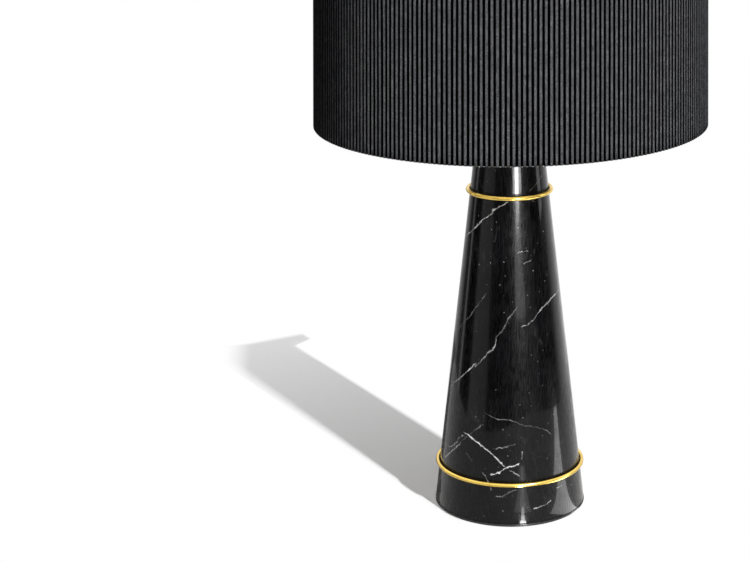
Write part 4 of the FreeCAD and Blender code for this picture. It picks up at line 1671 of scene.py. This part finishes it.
@dataclass
class Lampholder(Assembly):
    """The lampholder with its rotary switch."""

    nodes: dict[str, Piece]
    wall: float = 0.6 * MM
    collar_radius: float = 8.5 * MM
    collar_height: float = 6.4 * MM
    hole_radius: float = 5.0 * MM
    shell_radius: float = 16.6 * MM
    bead: float = 0.7 * MM
    slot_radius: float = 2.6 * MM
    flutes: int = 14
    flute_depth: float = 0.55 * MM

    def build(self) -> None:
        """Builds every piece of the lampholder."""
        self.cap()
        self.shell()
        self.switch()
        for name, finish in (
            ("cap_set_screw", ZINC),
            ("insulating_liner", FIBRE),
            ("lampholder_core", PHENOLIC),
            ("screw_shell", HOLDER_BRASS),
            ("centre_contact", HOLDER_BRASS),
            ("terminal_screws", HOLDER_BRASS),
        ):
            self.dress(self.nodes[name], finish)

    def cap(self) -> None:
        """The spun cup and its collar."""
        cap = Extent.of("lampholder_cap")
        collar = cap.bottom + self.collar_height
        radius = cap.radius
        wall = self.wall
        low = (self.collar_radius, collar)
        inner = (radius - wall, collar + 7.2 * MM)
        outline = [
            (self.hole_radius, cap.bottom),
            (self.collar_radius, cap.bottom),
            low,
            *arc(low, (radius - 3.1 * MM, collar + 1.6 * MM), (radius, collar + 7 * MM), 18),
            (radius, cap.top),
            (radius - wall, cap.top),
            inner,
            *arc(inner, (radius - 3.5 * MM, collar + 2.3 * MM), (self.collar_radius - 0.5 * MM, collar + wall), 18),
            (self.hole_radius, collar + wall),
        ]
        mesh = turned("cup_of_holder", eased(outline, 0.2 * MM, 3), 112)
        self.place(mesh, HOLDER_BRASS, Body.BASE, "lampholder_cap")

    def shell(self) -> None:
        """The shell with its two rolled beads and the slot for the switch."""
        shell = Extent.of("lampholder_shell")
        cap_top = Extent.of("lampholder_cap").top
        inner = self.shell_radius - self.wall
        outer = self.shell_radius
        raised = outer + self.bead
        low = (outer, cap_top + 3 * MM)
        high = (outer, shell.top - 4 * MM)
        outline = [
            (inner, shell.bottom),
            (outer, shell.bottom),
            low,
            *arc(low, (raised, low[1] + 1.5 * MM), (outer, low[1] + 3 * MM), 8),
            high,
            *arc(high, (raised, high[1] + 1.5 * MM), (outer, high[1] + 3 * MM), 8),
            (outer, shell.top),
            (inner, shell.top),
        ]
        mesh = turned("shell_blank", eased(outline, 0.15 * MM, 3), 112)
        switch_z = Extent.of("switch_stem").middle.z
        slot = bmesh.new()
        bmesh.ops.create_cube(slot, size=1.0)
        width = 2 * self.slot_radius
        depth = switch_z - shell.bottom + 1 * MM
        place = Matrix.Translation((0, -outer, switch_z - depth / 2)) @ Matrix.Diagonal((width, 0.02, depth, 1))
        slot.transform(place)
        cut = cut_out(mesh, finished_mesh("slot_run", slot))
        reach = [(0.0, -outer - 5 * MM), (self.slot_radius, -outer - 5 * MM), (self.slot_radius, 0.0), (0.0, 0.0)]
        cut = cut_out(cut, lying_along_y(turned("slot_end", reach, 40), switch_z))
        cut.name = "shell_of_holder"
        self.place(cut, HOLDER_BRASS, Body.BASE, "lampholder_shell")

    def switch(self) -> None:
        """The stem and its fluted knob."""
        stem = Extent.of("switch_stem")
        bar = [(0.0, stem.low.y), (stem.radius, stem.low.y), (stem.radius, stem.high.y), (0.0, stem.high.y)]
        mesh = lying_along_y(turned("stem_of_switch", eased(bar, 0.3 * MM, 3), 32), stem.middle.z)
        self.place(mesh, HOLDER_BRASS, Body.SWITCH, "switch_stem")
        knob = Extent.of("switch_knob")
        end, back = knob.low.y, knob.high.y
        plain = back - 2 * MM
        outline = [
            (0.0, end),
            (knob.radius - 1.2 * MM, end),
            *arc(
                (knob.radius - 1.2 * MM, end),
                (knob.radius - 0.351 * MM, end + 0.351 * MM),
                (knob.radius, end + 1.2 * MM),
                6,
            ),
            (knob.radius, end + 4 * MM),
            (knob.radius, end + 8 * MM),
            (knob.radius, plain - 0.4 * MM),
            (knob.radius, plain),
            (knob.radius, back),
            (0.0, back),
        ]

        def fluted(angle: float, radius: float, along: float) -> float:
            """The knob's radius, less where a flute runs.

            Args:
                angle: where round the knob.
                radius: the plain radius.
                along: how far along it.

            Returns:
                The radius there.
            """
            if radius < knob.radius * 0.7 or along > plain - 0.2 * MM:
                return radius
            scallop = max(0.0, math.cos(self.flutes * angle)) ** 1.5
            return radius - self.flute_depth * scallop

        mesh = turned("knob_of_switch", eased(outline, 0.25 * MM, 3), self.flutes * 12, fluted)
        self.place(lying_along_y(mesh, knob.middle.z), PHENOLIC, Body.SWITCH, "switch_knob")


@dataclass
class Bulb(Assembly):
    """The pear-shaped bulb and its screw cap."""

    ball_radius: float = 30.0 * MM
    neck_radius: float = 12.5 * MM
    shoulder: float = math.radians(42.8)
    wall: float = 1.0 * MM
    cap_foot: float = 9.5 * MM
    thread_pitch: float = 3.6 * MM
    thread_depth: float = 0.45 * MM

    def build(self) -> None:
        """Builds every piece of the bulb."""
        self.glass()
        self.cap()
        self.contact()

    def side(self, inset: float, neck_z: float, top: float) -> Profile:
        """Half outline of the glass drawn in by an inset, from its neck to its top.

        Args:
            inset: how far it is drawn in.
            neck_z: where the neck starts.
            top: the glass's top.

        Returns:
            The outline.
        """
        ball_z = top - self.ball_radius
        radius = self.ball_radius - inset
        neck = self.neck_radius - inset
        meet_x = radius * math.cos(self.shoulder)
        meet_z = ball_z - radius * math.sin(self.shoulder)
        hollow = (meet_x - neck) / (1 - math.cos(self.shoulder))
        points: Profile = [(neck, neck_z)]
        for step in range(17):
            angle = self.shoulder * step / 16
            drop = hollow * (math.sin(self.shoulder) - math.sin(angle))
            points.append((neck + hollow * (1 - math.cos(angle)), meet_z - drop))
        for step in range(1, 41):
            angle = -self.shoulder + (math.pi / 2 + self.shoulder) * step / 40
            points.append((max(0.0, radius * math.cos(angle)), ball_z + radius * math.sin(angle)))
        return points

    def glass(self) -> None:
        """The opal glass, one even wall."""
        glass = Extent.of("bulb_glass")
        outside = self.side(0.0, glass.bottom, glass.top)
        inside = self.side(self.wall, glass.bottom, glass.top)
        mesh = turned("glass_of_bulb", outside + inside[::-1], 128)
        self.place(mesh, OPAL, Body.BULB, "bulb_glass")

    def cap(self) -> None:
        """The metal cap with its rolled thread."""
        cap = Extent.of("bulb_cap")
        crest = cap.radius
        rows = 66
        start = cap.bottom + 3.0 * MM
        end = cap.top - 2.0 * MM
        wall = [(crest, start + (end - start) * row / rows) for row in range(rows + 1)]
        outline = [
            (self.cap_foot - 0.4 * MM, cap.bottom),
            (self.cap_foot, cap.bottom),
            (crest - self.thread_depth, cap.bottom + 2.4 * MM),
            *wall,
            (crest, cap.top),
            (crest - 0.4 * MM, cap.top),
            (crest - 0.9 * MM - self.thread_depth, cap.bottom + 3.4 * MM),
        ]

        def threaded(angle: float, radius: float, height: float) -> float:
            """The thread's rolled wave where the wall carries it.

            Args:
                angle: where round the cap.
                radius: the plain radius.
                height: the height there.

            Returns:
                The radius there.
            """
            if radius < crest - 0.1 * MM or height > end:
                return radius
            fade = min(1.0, (height - start) / (2 * MM), (end - height) / (2 * MM))
            wave = 0.5 + 0.5 * math.cos(2 * math.pi * height / self.thread_pitch - angle)
            return radius - self.thread_depth * max(0.0, fade) * wave

        self.place(turned("cap_of_bulb", outline, 96, threaded), BULB_METAL, Body.BULB, "bulb_cap")

    def contact(self) -> None:
        """The black glass ring and the solder tip."""
        ring = Extent.of("bulb_insulator")
        tip = Extent.of("bulb_tip")
        outline = [
            (0.0, ring.bottom),
            (tip.radius, ring.bottom),
            (ring.radius, ring.top - 1.4 * MM),
            (ring.radius, ring.top),
            (0.0, ring.top),
        ]
        self.place(turned("black_of_bulb", eased(outline, 0.4 * MM), 64), BULB_BLACK, Body.BULB, "bulb_insulator")
        rim = (tip.radius, tip.top)
        blob = arc((0.0, tip.bottom), (tip.radius * 0.7, tip.bottom + 0.35 * MM), rim, 10)
        drop = [(0.0, tip.bottom), *blob, (0.0, tip.top)]
        self.place(turned("tip_of_bulb", drop, 48), SOLDER, Body.BULB, "bulb_tip")


@dataclass
class Shade(Assembly):
    """The pleated drum shade, its lining, wire rings and spider, and the finial on top."""

    pleats: int = 250
    pleat_depth: float = 2.7 * MM
    rib_half: tuple[Point, ...] = (
        (0.0, 1.0), (0.12, 0.98), (0.155, 0.82), (0.175, 0.45), (0.195, 0.18), (0.235, 0.05), (0.31, 0.0),
    )
    cloth: float = 0.4 * MM
    cover_inset: float = 0.12 * MM
    rows: int = 30
    top_radius: float = 192.7 * MM
    lining_inset: float = 3.2 * MM
    lining: float = 0.6 * MM
    lining_drop: float = 0.7 * MM
    spider_wire: float = 1.8 * MM
    spider_bend: float = 8.0 * MM
    drop_start: float = 46.0 * MM
    drop_end: float = 26.0 * MM
    hub_hole: float = 3.5 * MM
    finial_waist: float = 4.4 * MM
    finial_neck: float = 5.2 * MM
    finial_ball: float = 8.6 * MM
    finial_bore: float = 3.18 * MM
    seed: int = 7

    def __post_init__(self) -> None:
        """Reads the drum's size from the frame."""
        cover = Extent.of("shade_cover")
        self.bottom = cover.bottom
        self.top = cover.top
        self.bottom_radius = max(cover.high.x, cover.high.y)

    def build(self) -> None:
        """Builds every piece of the shade."""
        self.liner()
        self.cover()
        self.rings()
        self.spider()
        self.finial()

    def rib_outline(self) -> Profile:
        """One rib's section: shares of the pitch from its slot, with the share of the depth cut in."""
        half = list(self.rib_half)
        return half + [(0.5, 0.0)] + [(1 - along, inset) for along, inset in half[:0:-1]]

    def ribs(self, section: Profile) -> list[Vector]:
        """The cloth's points row by row from the lower edge, each rib a little out of place, height and plumb.

        Args:
            section: one rib's section.

        Returns:
            The points.
        """
        chance = random.Random(self.seed)
        pitch = 2 * math.pi / self.pleats
        shifts = [chance.gauss(0, 0.035) for _ in range(self.pleats)]
        sways = [
            (chance.gauss(0, 0.018), chance.uniform(0, 6.3), chance.uniform(0.6, 1.6)) for _ in range(self.pleats)
        ]
        crests = [chance.gauss(0, 0.05 * MM) for _ in range(self.pleats)]
        points: list[Vector] = []
        for row in range(self.rows + 1):
            share = row / self.rows
            height = self.bottom + (self.top - self.bottom) * share
            radius = self.bottom_radius + (self.top_radius - self.bottom_radius) * share - self.cover_inset
            ends = [
                shift + size * math.sin(phase + turns * 2 * math.pi * share)
                for shift, (size, phase, turns) in zip(shifts, sways)
            ]
            for rib in range(self.pleats):
                start, end = ends[rib], ends[(rib + 1) % self.pleats]
                for along, inset in section:
                    angle = (rib + along + start * (1 - along) + end * along) * pitch
                    depth = inset * self.pleat_depth * radius / self.bottom_radius
                    reach = radius + crests[rib] * (1 - inset) - depth
                    points.append(Vector((reach * math.cos(angle), reach * math.sin(angle), height)))
        return points

    def cover(self) -> None:
        """The cloth folded in ribs as one sheet, its map laid out along the weave."""
        section = self.rib_outline()
        points = self.ribs(section)
        around = self.pleats * len(section)
        steps = [(points[(index + 1) % around] - points[index]).length for index in range(around)]
        laid = [0.0]
        for rib in range(self.pleats):
            run = steps[rib * len(section):(rib + 1) * len(section)]
            for step in run:
                laid.append(laid[-1] + step * CLOTH.rib / sum(run))
        faces = []
        for row in range(self.rows):
            for index in range(around):
                low = row * around + index
                next_low = row * around + (index + 1) % around
                faces.append((low, next_low, next_low + around, low + around))
        mesh = bpy.data.meshes.new("pleated_cover")
        mesh.from_pydata(points, [], faces)
        layer = mesh.uv_layers.new(name="cloth")
        step_height = (self.top - self.bottom) / self.rows
        for face in mesh.polygons:
            row, index = divmod(face.index, around)
            places = ((index, row), (index + 1, row), (index + 1, row + 1), (index, row + 1))
            for loop, (across, up) in zip(face.loop_indices, places):
                layer.data[loop].uv = (laid[across], up * step_height)
        piece = self.place(smoothed(mesh, 65.0), CLOTH, Body.SHADE, "shade_cover")
        thicker = piece.modifiers.new("cloth", "SOLIDIFY")
        thicker.thickness = self.cloth
        thicker.offset = -1.0
        self.top - self.bottom

    def liner(self) -> None:
        """The pale lining, its lower edge just below the cloth's."""
        low = self.bottom - self.lining_drop
        bottom = self.bottom_radius - self.lining_inset
        top = self.top_radius - self.lining_inset
        outline = [
            (bottom - self.lining, low),
            (bottom, low),
            (top, self.top),
            (top - self.lining, self.top),
        ]
        mesh = turned("lining_of_shade", eased(outline, 0.1 * MM, 2), 384)
        self.place(mesh, LINING, Body.SHADE, "shade_lining")

    def rings(self) -> None:
        """The wire rings that keep the lining round."""
        for node, name in (("shade_bottom_ring", "hoop_low"), ("shade_top_ring", "hoop_high")):
            ring = Extent.of(node)
            wire = (ring.top - ring.bottom) / 2
            mesh = turned(name, circle(ring.radius - wire, wire, ring.middle.z, 16), 256)
            self.place(mesh, WHITE_WIRE, Body.SHADE, node)

    def spider(self) -> None:
        """The hub and the three arms that drop to it from the upper ring."""
        hub = Extent.of("spider_hub")
        outline = [
            (self.hub_hole, hub.bottom),
            (hub.radius, hub.bottom),
            (hub.radius, hub.top),
            (self.hub_hole, hub.top),
        ]
        self.place(turned("hub_of_spider", eased(outline, 0.4 * MM), 64), WHITE_WIRE, Body.SHADE, "spider_hub")
        ring = Extent.of("shade_top_ring")
        wire = (ring.top - ring.bottom) / 2
        points = [
            Vector((hub.radius - 0.5 * MM, 0, hub.middle.z)),
            Vector((self.drop_end, 0, hub.middle.z)),
            Vector((self.drop_start, 0, ring.middle.z)),
            Vector((ring.radius - 1.2 * wire, 0, ring.middle.z)),
        ]
        for index in range(3):
            mesh = rod(f"arm_{index + 1}", bent(points, self.spider_bend), self.spider_wire)
            mesh.transform(Matrix.Rotation(math.radians(90 + 120 * index), 4, "Z"))
            self.place(mesh, WHITE_WIRE, Body.SHADE, f"spider_arm_{index + 1}")

    def finial(self) -> None:
        """The turned finial: a foot, a waist and a ball."""
        finial = Extent.of("finial")
        foot = finial.bottom + 2 * MM
        neck_z = finial.bottom + 9 * MM
        ball_z = finial.top - self.finial_ball
        start = math.atan2(neck_z - ball_z, self.finial_neck)
        ball = [
            (self.finial_ball * math.cos(angle), ball_z + self.finial_ball * math.sin(angle))
            for angle in (start + (math.pi / 2 - start) * step / 36 for step in range(1, 36))
        ]
        neck = (self.finial_neck, neck_z)
        outline = [
            (self.finial_bore, finial.bottom),
            (finial.radius * 0.93, finial.bottom),
            (finial.radius * 0.93, foot),
            *arc((finial.radius * 0.93, foot), (self.finial_waist, (foot + neck_z) / 2), neck, 16),
            *ball,
            (0.0, finial.top),
            (0.0, finial.bottom + 13.5 * MM),
            (self.finial_bore, finial.bottom + 13.5 * MM),
        ]
        self.place(turned("finial_of_brass", eased(outline, 0.25 * MM, 3), 96), BRASS, Body.FINIAL, "finial")


# Studio


@dataclass(frozen=True)
class Reflector:
    """An upright bright board round the lamp: its azimuth from the front, its edges and its radiance."""

    azimuth: float
    width: float
    bottom: float
    top: float
    radiance: float
    distance: float = 2.2


REFLECTORS = (
    Reflector(17.5, 0.44, 0.375, 0.62, 56.0),
    Reflector(18.5, 0.98, 0.380, 0.62, 18.0),
    Reflector(18.0, 0.34, 0.32, 0.375, 16.0),
    Reflector(17.0, 0.36, 0.27, 0.32, 4.5),
    Reflector(18.0, 0.60, 0.21, 0.32, 1.7),
    Reflector(19.0, 0.80, 0.10, 0.21, 1.5),
    Reflector(20.0, 0.84, 0.01, 0.10, 2.4),
    Reflector(5.0, 3.40, 0.68, 1.40, 1.1),
    Reflector(92.0, 0.50, 0.14, 1.00, 2.6),
)


@dataclass(frozen=True)
class Card:
    """A bright card lying on the floor: its middle, its heading from the front, its sides and its radiance."""

    x: float
    y: float
    heading: float
    width: float
    length: float
    radiance: float


CARDS = (
    Card(0.0122, -0.0910, 17.0, 0.008, 0.016, 50.0),
    Card(0.0171, -0.1073, 17.0, 0.006, 0.018, 26.0),
    Card(0.0243, -0.1312, 17.0, 0.007, 0.032, 12.0),
    Card(0.0562, -0.2376, 17.0, 0.018, 0.190, 3.5),
    Card(0.0533, -0.2280, 17.0, 0.045, 0.210, 1.6),
    Card(0.3750, -0.0800, 90.0, 0.070, 0.350, 5.0),
    Card(0.1325, -0.0600, 90.0, 0.050, 0.135, 4.2),
)


# How bright the walls look in a polished surface, by degrees round from the front.
WALLS = (
    (-180, 0.6), (-136, 0.35), (-131, 0.05), (-120, 0.05), (-118, 1.0), (-113, 1.0), (-111, 0.0),
    (-88, 0.0), (-82, 0.75), (-50, 0.60), (-45, 0.04), (2, 0.03), (30, 0.30),
    (52, 0.30), (58, 0.03), (98, 0.04), (112, 0.75), (150, 1.0), (180, 1.0),
)


@dataclass
class Studio:
    """A plain pale floor, soft lights, a white world and the camera."""

    floor_reach: float = 0.67
    floor_breadth: float = 0.52
    floor_colour: Colour = (0.93, 0.93, 0.93, 1.0)
    floor_glow: float = 0.27
    lane_heading: float = 28.0
    lane_left: float = -0.079
    lane_right: float = 0.020
    lane_flare: float = 0.030
    lane_start: float = -0.05
    left_blur: float = 0.006
    right_blur: float = 0.012
    fade_slope: float = 1.0
    fade_near: float = 0.1
    fade_start: float = 0.60
    fade_length: float = 0.03
    fade_slant: float = -1.9
    corner_before: float = 0.025
    corner_after: float = 0.135
    key_azimuth: float = 30.2
    key_elevation: float = 31.0
    key_distance: float = 6.0
    key_aim: float = 0.1
    key_size: float = 0.16
    key_power: float = 415.0
    fill_azimuth: float = -38.0
    fill_distance: float = 3.0
    fill_height: float = 0.8
    fill_aim: float = 0.4
    fill_shift: float = 0.12
    fill_half_width: float = 0.21
    fill_tallness: float = 2.4
    fill_blend: float = 0.2
    fill_softness: float = 0.05
    fill_power: float = 130.0
    back_place: tuple[float, float] = (-0.17, 0.98)
    back_size: float = 0.5
    back_power: float = 24.0
    ambient: float = 0.10
    wall_top: Point = (0.05, 0.16)
    wall_foot: Point = (-0.42, -0.34)
    canopy_size: float = 8.0
    canopy_height: float = 3.0
    canopy_radiance: float = 0.3
    camera_place: Triple = (-0.14024, -2.0, 0.85086)
    camera_pitch: float = math.degrees(0.29332)
    camera_roll: float = math.degrees(-0.02056)
    camera_lens: float = 96.18

    def build(self) -> None:
        """Builds the studio."""
        self.floor()
        self.world()
        self.key()
        self.fill()
        self.back()
        self.canopy()
        self.reflectors()
        self.cards()
        self.camera()

    def floor(self) -> None:
        """The floor, which takes the lamp's shadow near the foot and turns plain white further off."""
        shape = bmesh.new()
        bmesh.ops.create_circle(shape, cap_ends=True, segments=96, radius=1.0)
        turn = Matrix.Rotation(math.radians(self.lane_heading), 4, "Z")
        shape.transform(turn @ Matrix.Diagonal((self.floor_breadth, self.floor_reach, 1.0, 1.0)))
        mesh = finished_mesh("floor", shape)
        floor = bpy.data.objects.new("floor", mesh)
        bpy.context.scene.collection.objects.link(floor)
        made = bpy.data.materials.new("floor")
        made.use_nodes = True
        made.node_tree.nodes.clear()
        graph = Graph(made.node_tree)
        ray = graph.add("LightPath").outputs["Is Camera Ray"]
        matte = graph.add("BsdfDiffuse")
        graph.fill(matte, Color=self.floor_colour)
        glow = graph.add("Emission")
        graph.fill(glow, Strength=graph.times(ray, self.floor_glow))
        near = graph.add("AddShader")
        graph.feed(near.inputs[0], matte.outputs[0])
        graph.feed(near.inputs[1], glow.outputs[0])
        far = graph.times(self.whiteness(graph), ray)
        white = graph.add("Emission")
        mix = graph.add("MixShader")
        graph.feed(mix.inputs[0], far)
        graph.feed(mix.inputs[1], near.outputs[0])
        graph.feed(mix.inputs[2], white.outputs[0])
        graph.fill(graph.add("OutputMaterial"), Surface=mix.outputs[0])
        mesh.materials.append(made)

    def whiteness(self, graph: Graph) -> Socket:
        """How white the floor has turned: none in the shadow's lane near the foot, one beside and beyond it.

        Args:
            graph: the floor material's nodes.

        Returns:
            The share of white.
        """
        place = graph.object_place()
        heading = math.radians(self.lane_heading)
        reach = graph.add("VectorMath", operation="LENGTH")
        ahead = graph.add("VectorMath", operation="DOT_PRODUCT")
        aside = graph.add("VectorMath", operation="DOT_PRODUCT")
        ahead.inputs[1].default_value = (-math.sin(heading), math.cos(heading), 0.0)
        aside.inputs[1].default_value = (math.cos(heading), math.sin(heading), 0.0)
        for node in (reach, ahead, aside):
            graph.feed(node.inputs[0], place)
        before = graph.span(ahead.outputs["Value"], self.lane_start, 0.0, 1.0, 0.0)
        wider = graph.span(ahead.outputs["Value"], self.fade_start - 0.02, self.fade_start, 0.0, self.lane_flare)
        left = graph.span(aside.outputs["Value"], self.lane_left - self.left_blur, self.lane_left, 1.0, 0.0)
        off = graph.math("SUBTRACT", aside.outputs["Value"], wider)
        right = graph.span(off, self.lane_right, self.lane_right + self.right_blur)
        start = -self.fade_near * self.fade_slope
        slow = graph.math("MULTIPLY_ADD", reach.outputs["Value"], self.fade_slope, start, clamp=True)
        end = graph.span(ahead.outputs["Value"], self.fade_start, self.fade_start + self.fade_length)
        slant = graph.math("MULTIPLY_ADD", aside.outputs["Value"], self.fade_slant, ahead.outputs["Value"])
        corner = graph.span(slant, self.fade_start - self.corner_before, self.fade_start + self.corner_after)
        return graph.highest(before, left, right, slow, end, corner)

    def world(self) -> None:
        """White to the camera and through glass; to polished surfaces, dark and pale walls under a pale ceiling."""
        world = bpy.data.worlds.new("studio")
        bpy.context.scene.world = world
        world.use_nodes = True
        world.node_tree.nodes.clear()
        graph = Graph(world.node_tree)
        east, north, up = graph.parts(graph.add("TexCoord").outputs["Generated"])
        angle = graph.math("ARCTAN2", east, graph.times(north, -1.0))
        share = graph.math("MULTIPLY_ADD", angle, 1 / (2 * math.pi), 0.5)
        walls = graph.add("ValToRGB")
        ramp = walls.color_ramp
        while len(ramp.elements) < len(WALLS):
            ramp.elements.new(0.5)
        for element, (degrees, level) in zip(ramp.elements, WALLS):
            element.position = degrees / 360 + 0.5
            element.color = (level, level, level, 1.0)
        graph.feed(walls.inputs[0], share)
        ray = graph.add("LightPath")
        grey = (self.ambient, self.ambient, self.ambient * 1.02, 1.0)
        ground = graph.span(up, *self.wall_foot, 1.0, 0.0)
        beyond = graph.highest(graph.span(up, *self.wall_top), ground)
        tent = graph.blend(beyond, walls.outputs[0], WHITE)
        polished = graph.blend(ray.outputs["Is Glossy Ray"], grey, tent)
        clear = graph.highest(ray.outputs["Is Camera Ray"], ray.outputs["Is Transmission Ray"])
        background = graph.add("Background")
        graph.fill(background, Color=graph.blend(clear, polished, WHITE))
        graph.fill(graph.add("OutputWorld"), Surface=background.outputs[0])

    def softbox(self, name: str, place: Vector, aim: Vector, size: Point, power: float) -> Piece:
        """An area light.

        Args:
            name: its name.
            place: where it stands.
            aim: what it points at.
            size: its width and height.
            power: its power in watts.

        Returns:
            The light.
        """
        lamp = bpy.data.lights.new(name, "AREA")
        lamp.shape = "RECTANGLE"
        lamp.size, lamp.size_y = size
        return self.hung(lamp, place, aim, power)

    def hung(self, lamp: bpy.types.Light, place: Vector, aim: Vector, power: float) -> Piece:
        """A lamp put in its place and aimed.

        Args:
            lamp: the lamp.
            place: where it stands.
            aim: what it points at.
            power: its power in watts.

        Returns:
            The light.
        """
        lamp.energy = power
        light = bpy.data.objects.new(lamp.name, lamp)
        bpy.context.scene.collection.objects.link(light)
        light.location = place
        light.rotation_euler = (aim - place).to_track_quat("-Z", "Y").to_euler()
        return light

    def key(self) -> None:
        """The main light, high at the front right, which throws the shadow."""
        azimuth = math.radians(self.key_azimuth)
        elevation = math.radians(self.key_elevation)
        flat = self.key_distance * math.cos(elevation)
        place = Vector((flat * math.sin(azimuth), -flat * math.cos(azimuth), self.key_distance * math.sin(elevation)))
        self.softbox("key", place, Vector((0, 0, self.key_aim)), (self.key_size, self.key_size), self.key_power)

    def fill(self) -> None:
        """A hooded light from the front left, which polished surfaces don't show and the far left doesn't catch."""
        azimuth = math.radians(self.fill_azimuth)
        flat = self.fill_distance
        place = Vector((flat * math.sin(azimuth), -flat * math.cos(azimuth), self.fill_height))
        aim = Vector((self.fill_shift * math.cos(azimuth), self.fill_shift * math.sin(azimuth), self.fill_aim))
        lamp = bpy.data.lights.new("fill", "SPOT")
        lamp.spot_size = 2 * math.atan(self.fill_half_width / self.fill_distance)
        lamp.spot_blend = self.fill_blend
        lamp.shadow_soft_size = self.fill_softness
        light = self.hung(lamp, place, aim, self.fill_power)
        light.scale = (1.0, self.fill_tallness, 1.0)
        light.visible_glossy = False

    def back(self) -> None:
        """A pane lying on the floor behind the lamp, which lights its back and leaves the floor as it is."""
        east, north = self.back_place
        size = (self.back_size, self.back_size)
        light = self.softbox("back", Vector((east, north, MM)), Vector((east, north, 1.0)), size, self.back_power)
        light.visible_glossy = False
        light.visible_camera = False

    def canopy(self) -> None:
        """The bright ceiling that brass shows, which lights nothing."""
        power = self.canopy_radiance * math.pi * self.canopy_size**2
        size = (self.canopy_size, self.canopy_size)
        light = self.softbox("canopy", Vector((0, 0, self.canopy_height)), Vector(), size, power)
        light.visible_diffuse = False

    def reflectors(self) -> None:
        """The boards and boxes that draw bright lines down the polished stone, and light nothing else."""
        for index, board in enumerate(REFLECTORS):
            azimuth = math.radians(board.azimuth)
            middle = (board.bottom + board.top) / 2
            place = Vector((board.distance * math.sin(azimuth), -board.distance * math.cos(azimuth), middle))
            size = (board.width, board.top - board.bottom)
            power = board.radiance * math.pi * size[0] * size[1]
            light = self.softbox(f"reflector_{index + 1}", place, Vector((0, 0, middle)), size, power)
            light.visible_diffuse = False

    def cards(self) -> None:
        """The cards on the floor that draw bright marks low on the polished stone, and light nothing else."""
        for index, card in enumerate(CARDS):
            place = Vector((card.x, card.y, 0.5 * MM))
            power = card.radiance * math.pi * card.width * card.length
            size = (card.width, card.length)
            light = self.softbox(f"card_{index + 1}", place, Vector((card.x, card.y, 1.0)), size, power)
            light.rotation_euler = (math.pi, 0.0, math.radians(card.heading))
            light.visible_diffuse = False

    def camera(self) -> None:
        """The camera at the photograph's viewing angle."""
        data = bpy.data.cameras.new("camera")
        data.sensor_width = 36.0
        data.lens = self.camera_lens
        camera = bpy.data.objects.new("camera", data)
        bpy.context.scene.collection.objects.link(camera)
        tilt = Matrix.Rotation(math.radians(90 - self.camera_pitch), 4, "X")
        roll = Matrix.Rotation(math.radians(self.camera_roll), 4, "Z")
        camera.matrix_world = Matrix.Translation(self.camera_place) @ tilt @ roll
        bpy.context.scene.camera = camera


def main() -> None:
    """Builds the lamp and the studio."""
    logging.basicConfig(level=logging.INFO, format="%(message)s")
    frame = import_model()
    nodes = frame["nodes"]
    for assembly in (Base(nodes), HarpFittings(), Lampholder(nodes), Bulb(), Shade()):
        assembly.build()
        assembly.report()
    Studio().build()
    bpy.context.scene.view_settings.view_transform = "Standard"


if __name__ == "__main__":
    main()
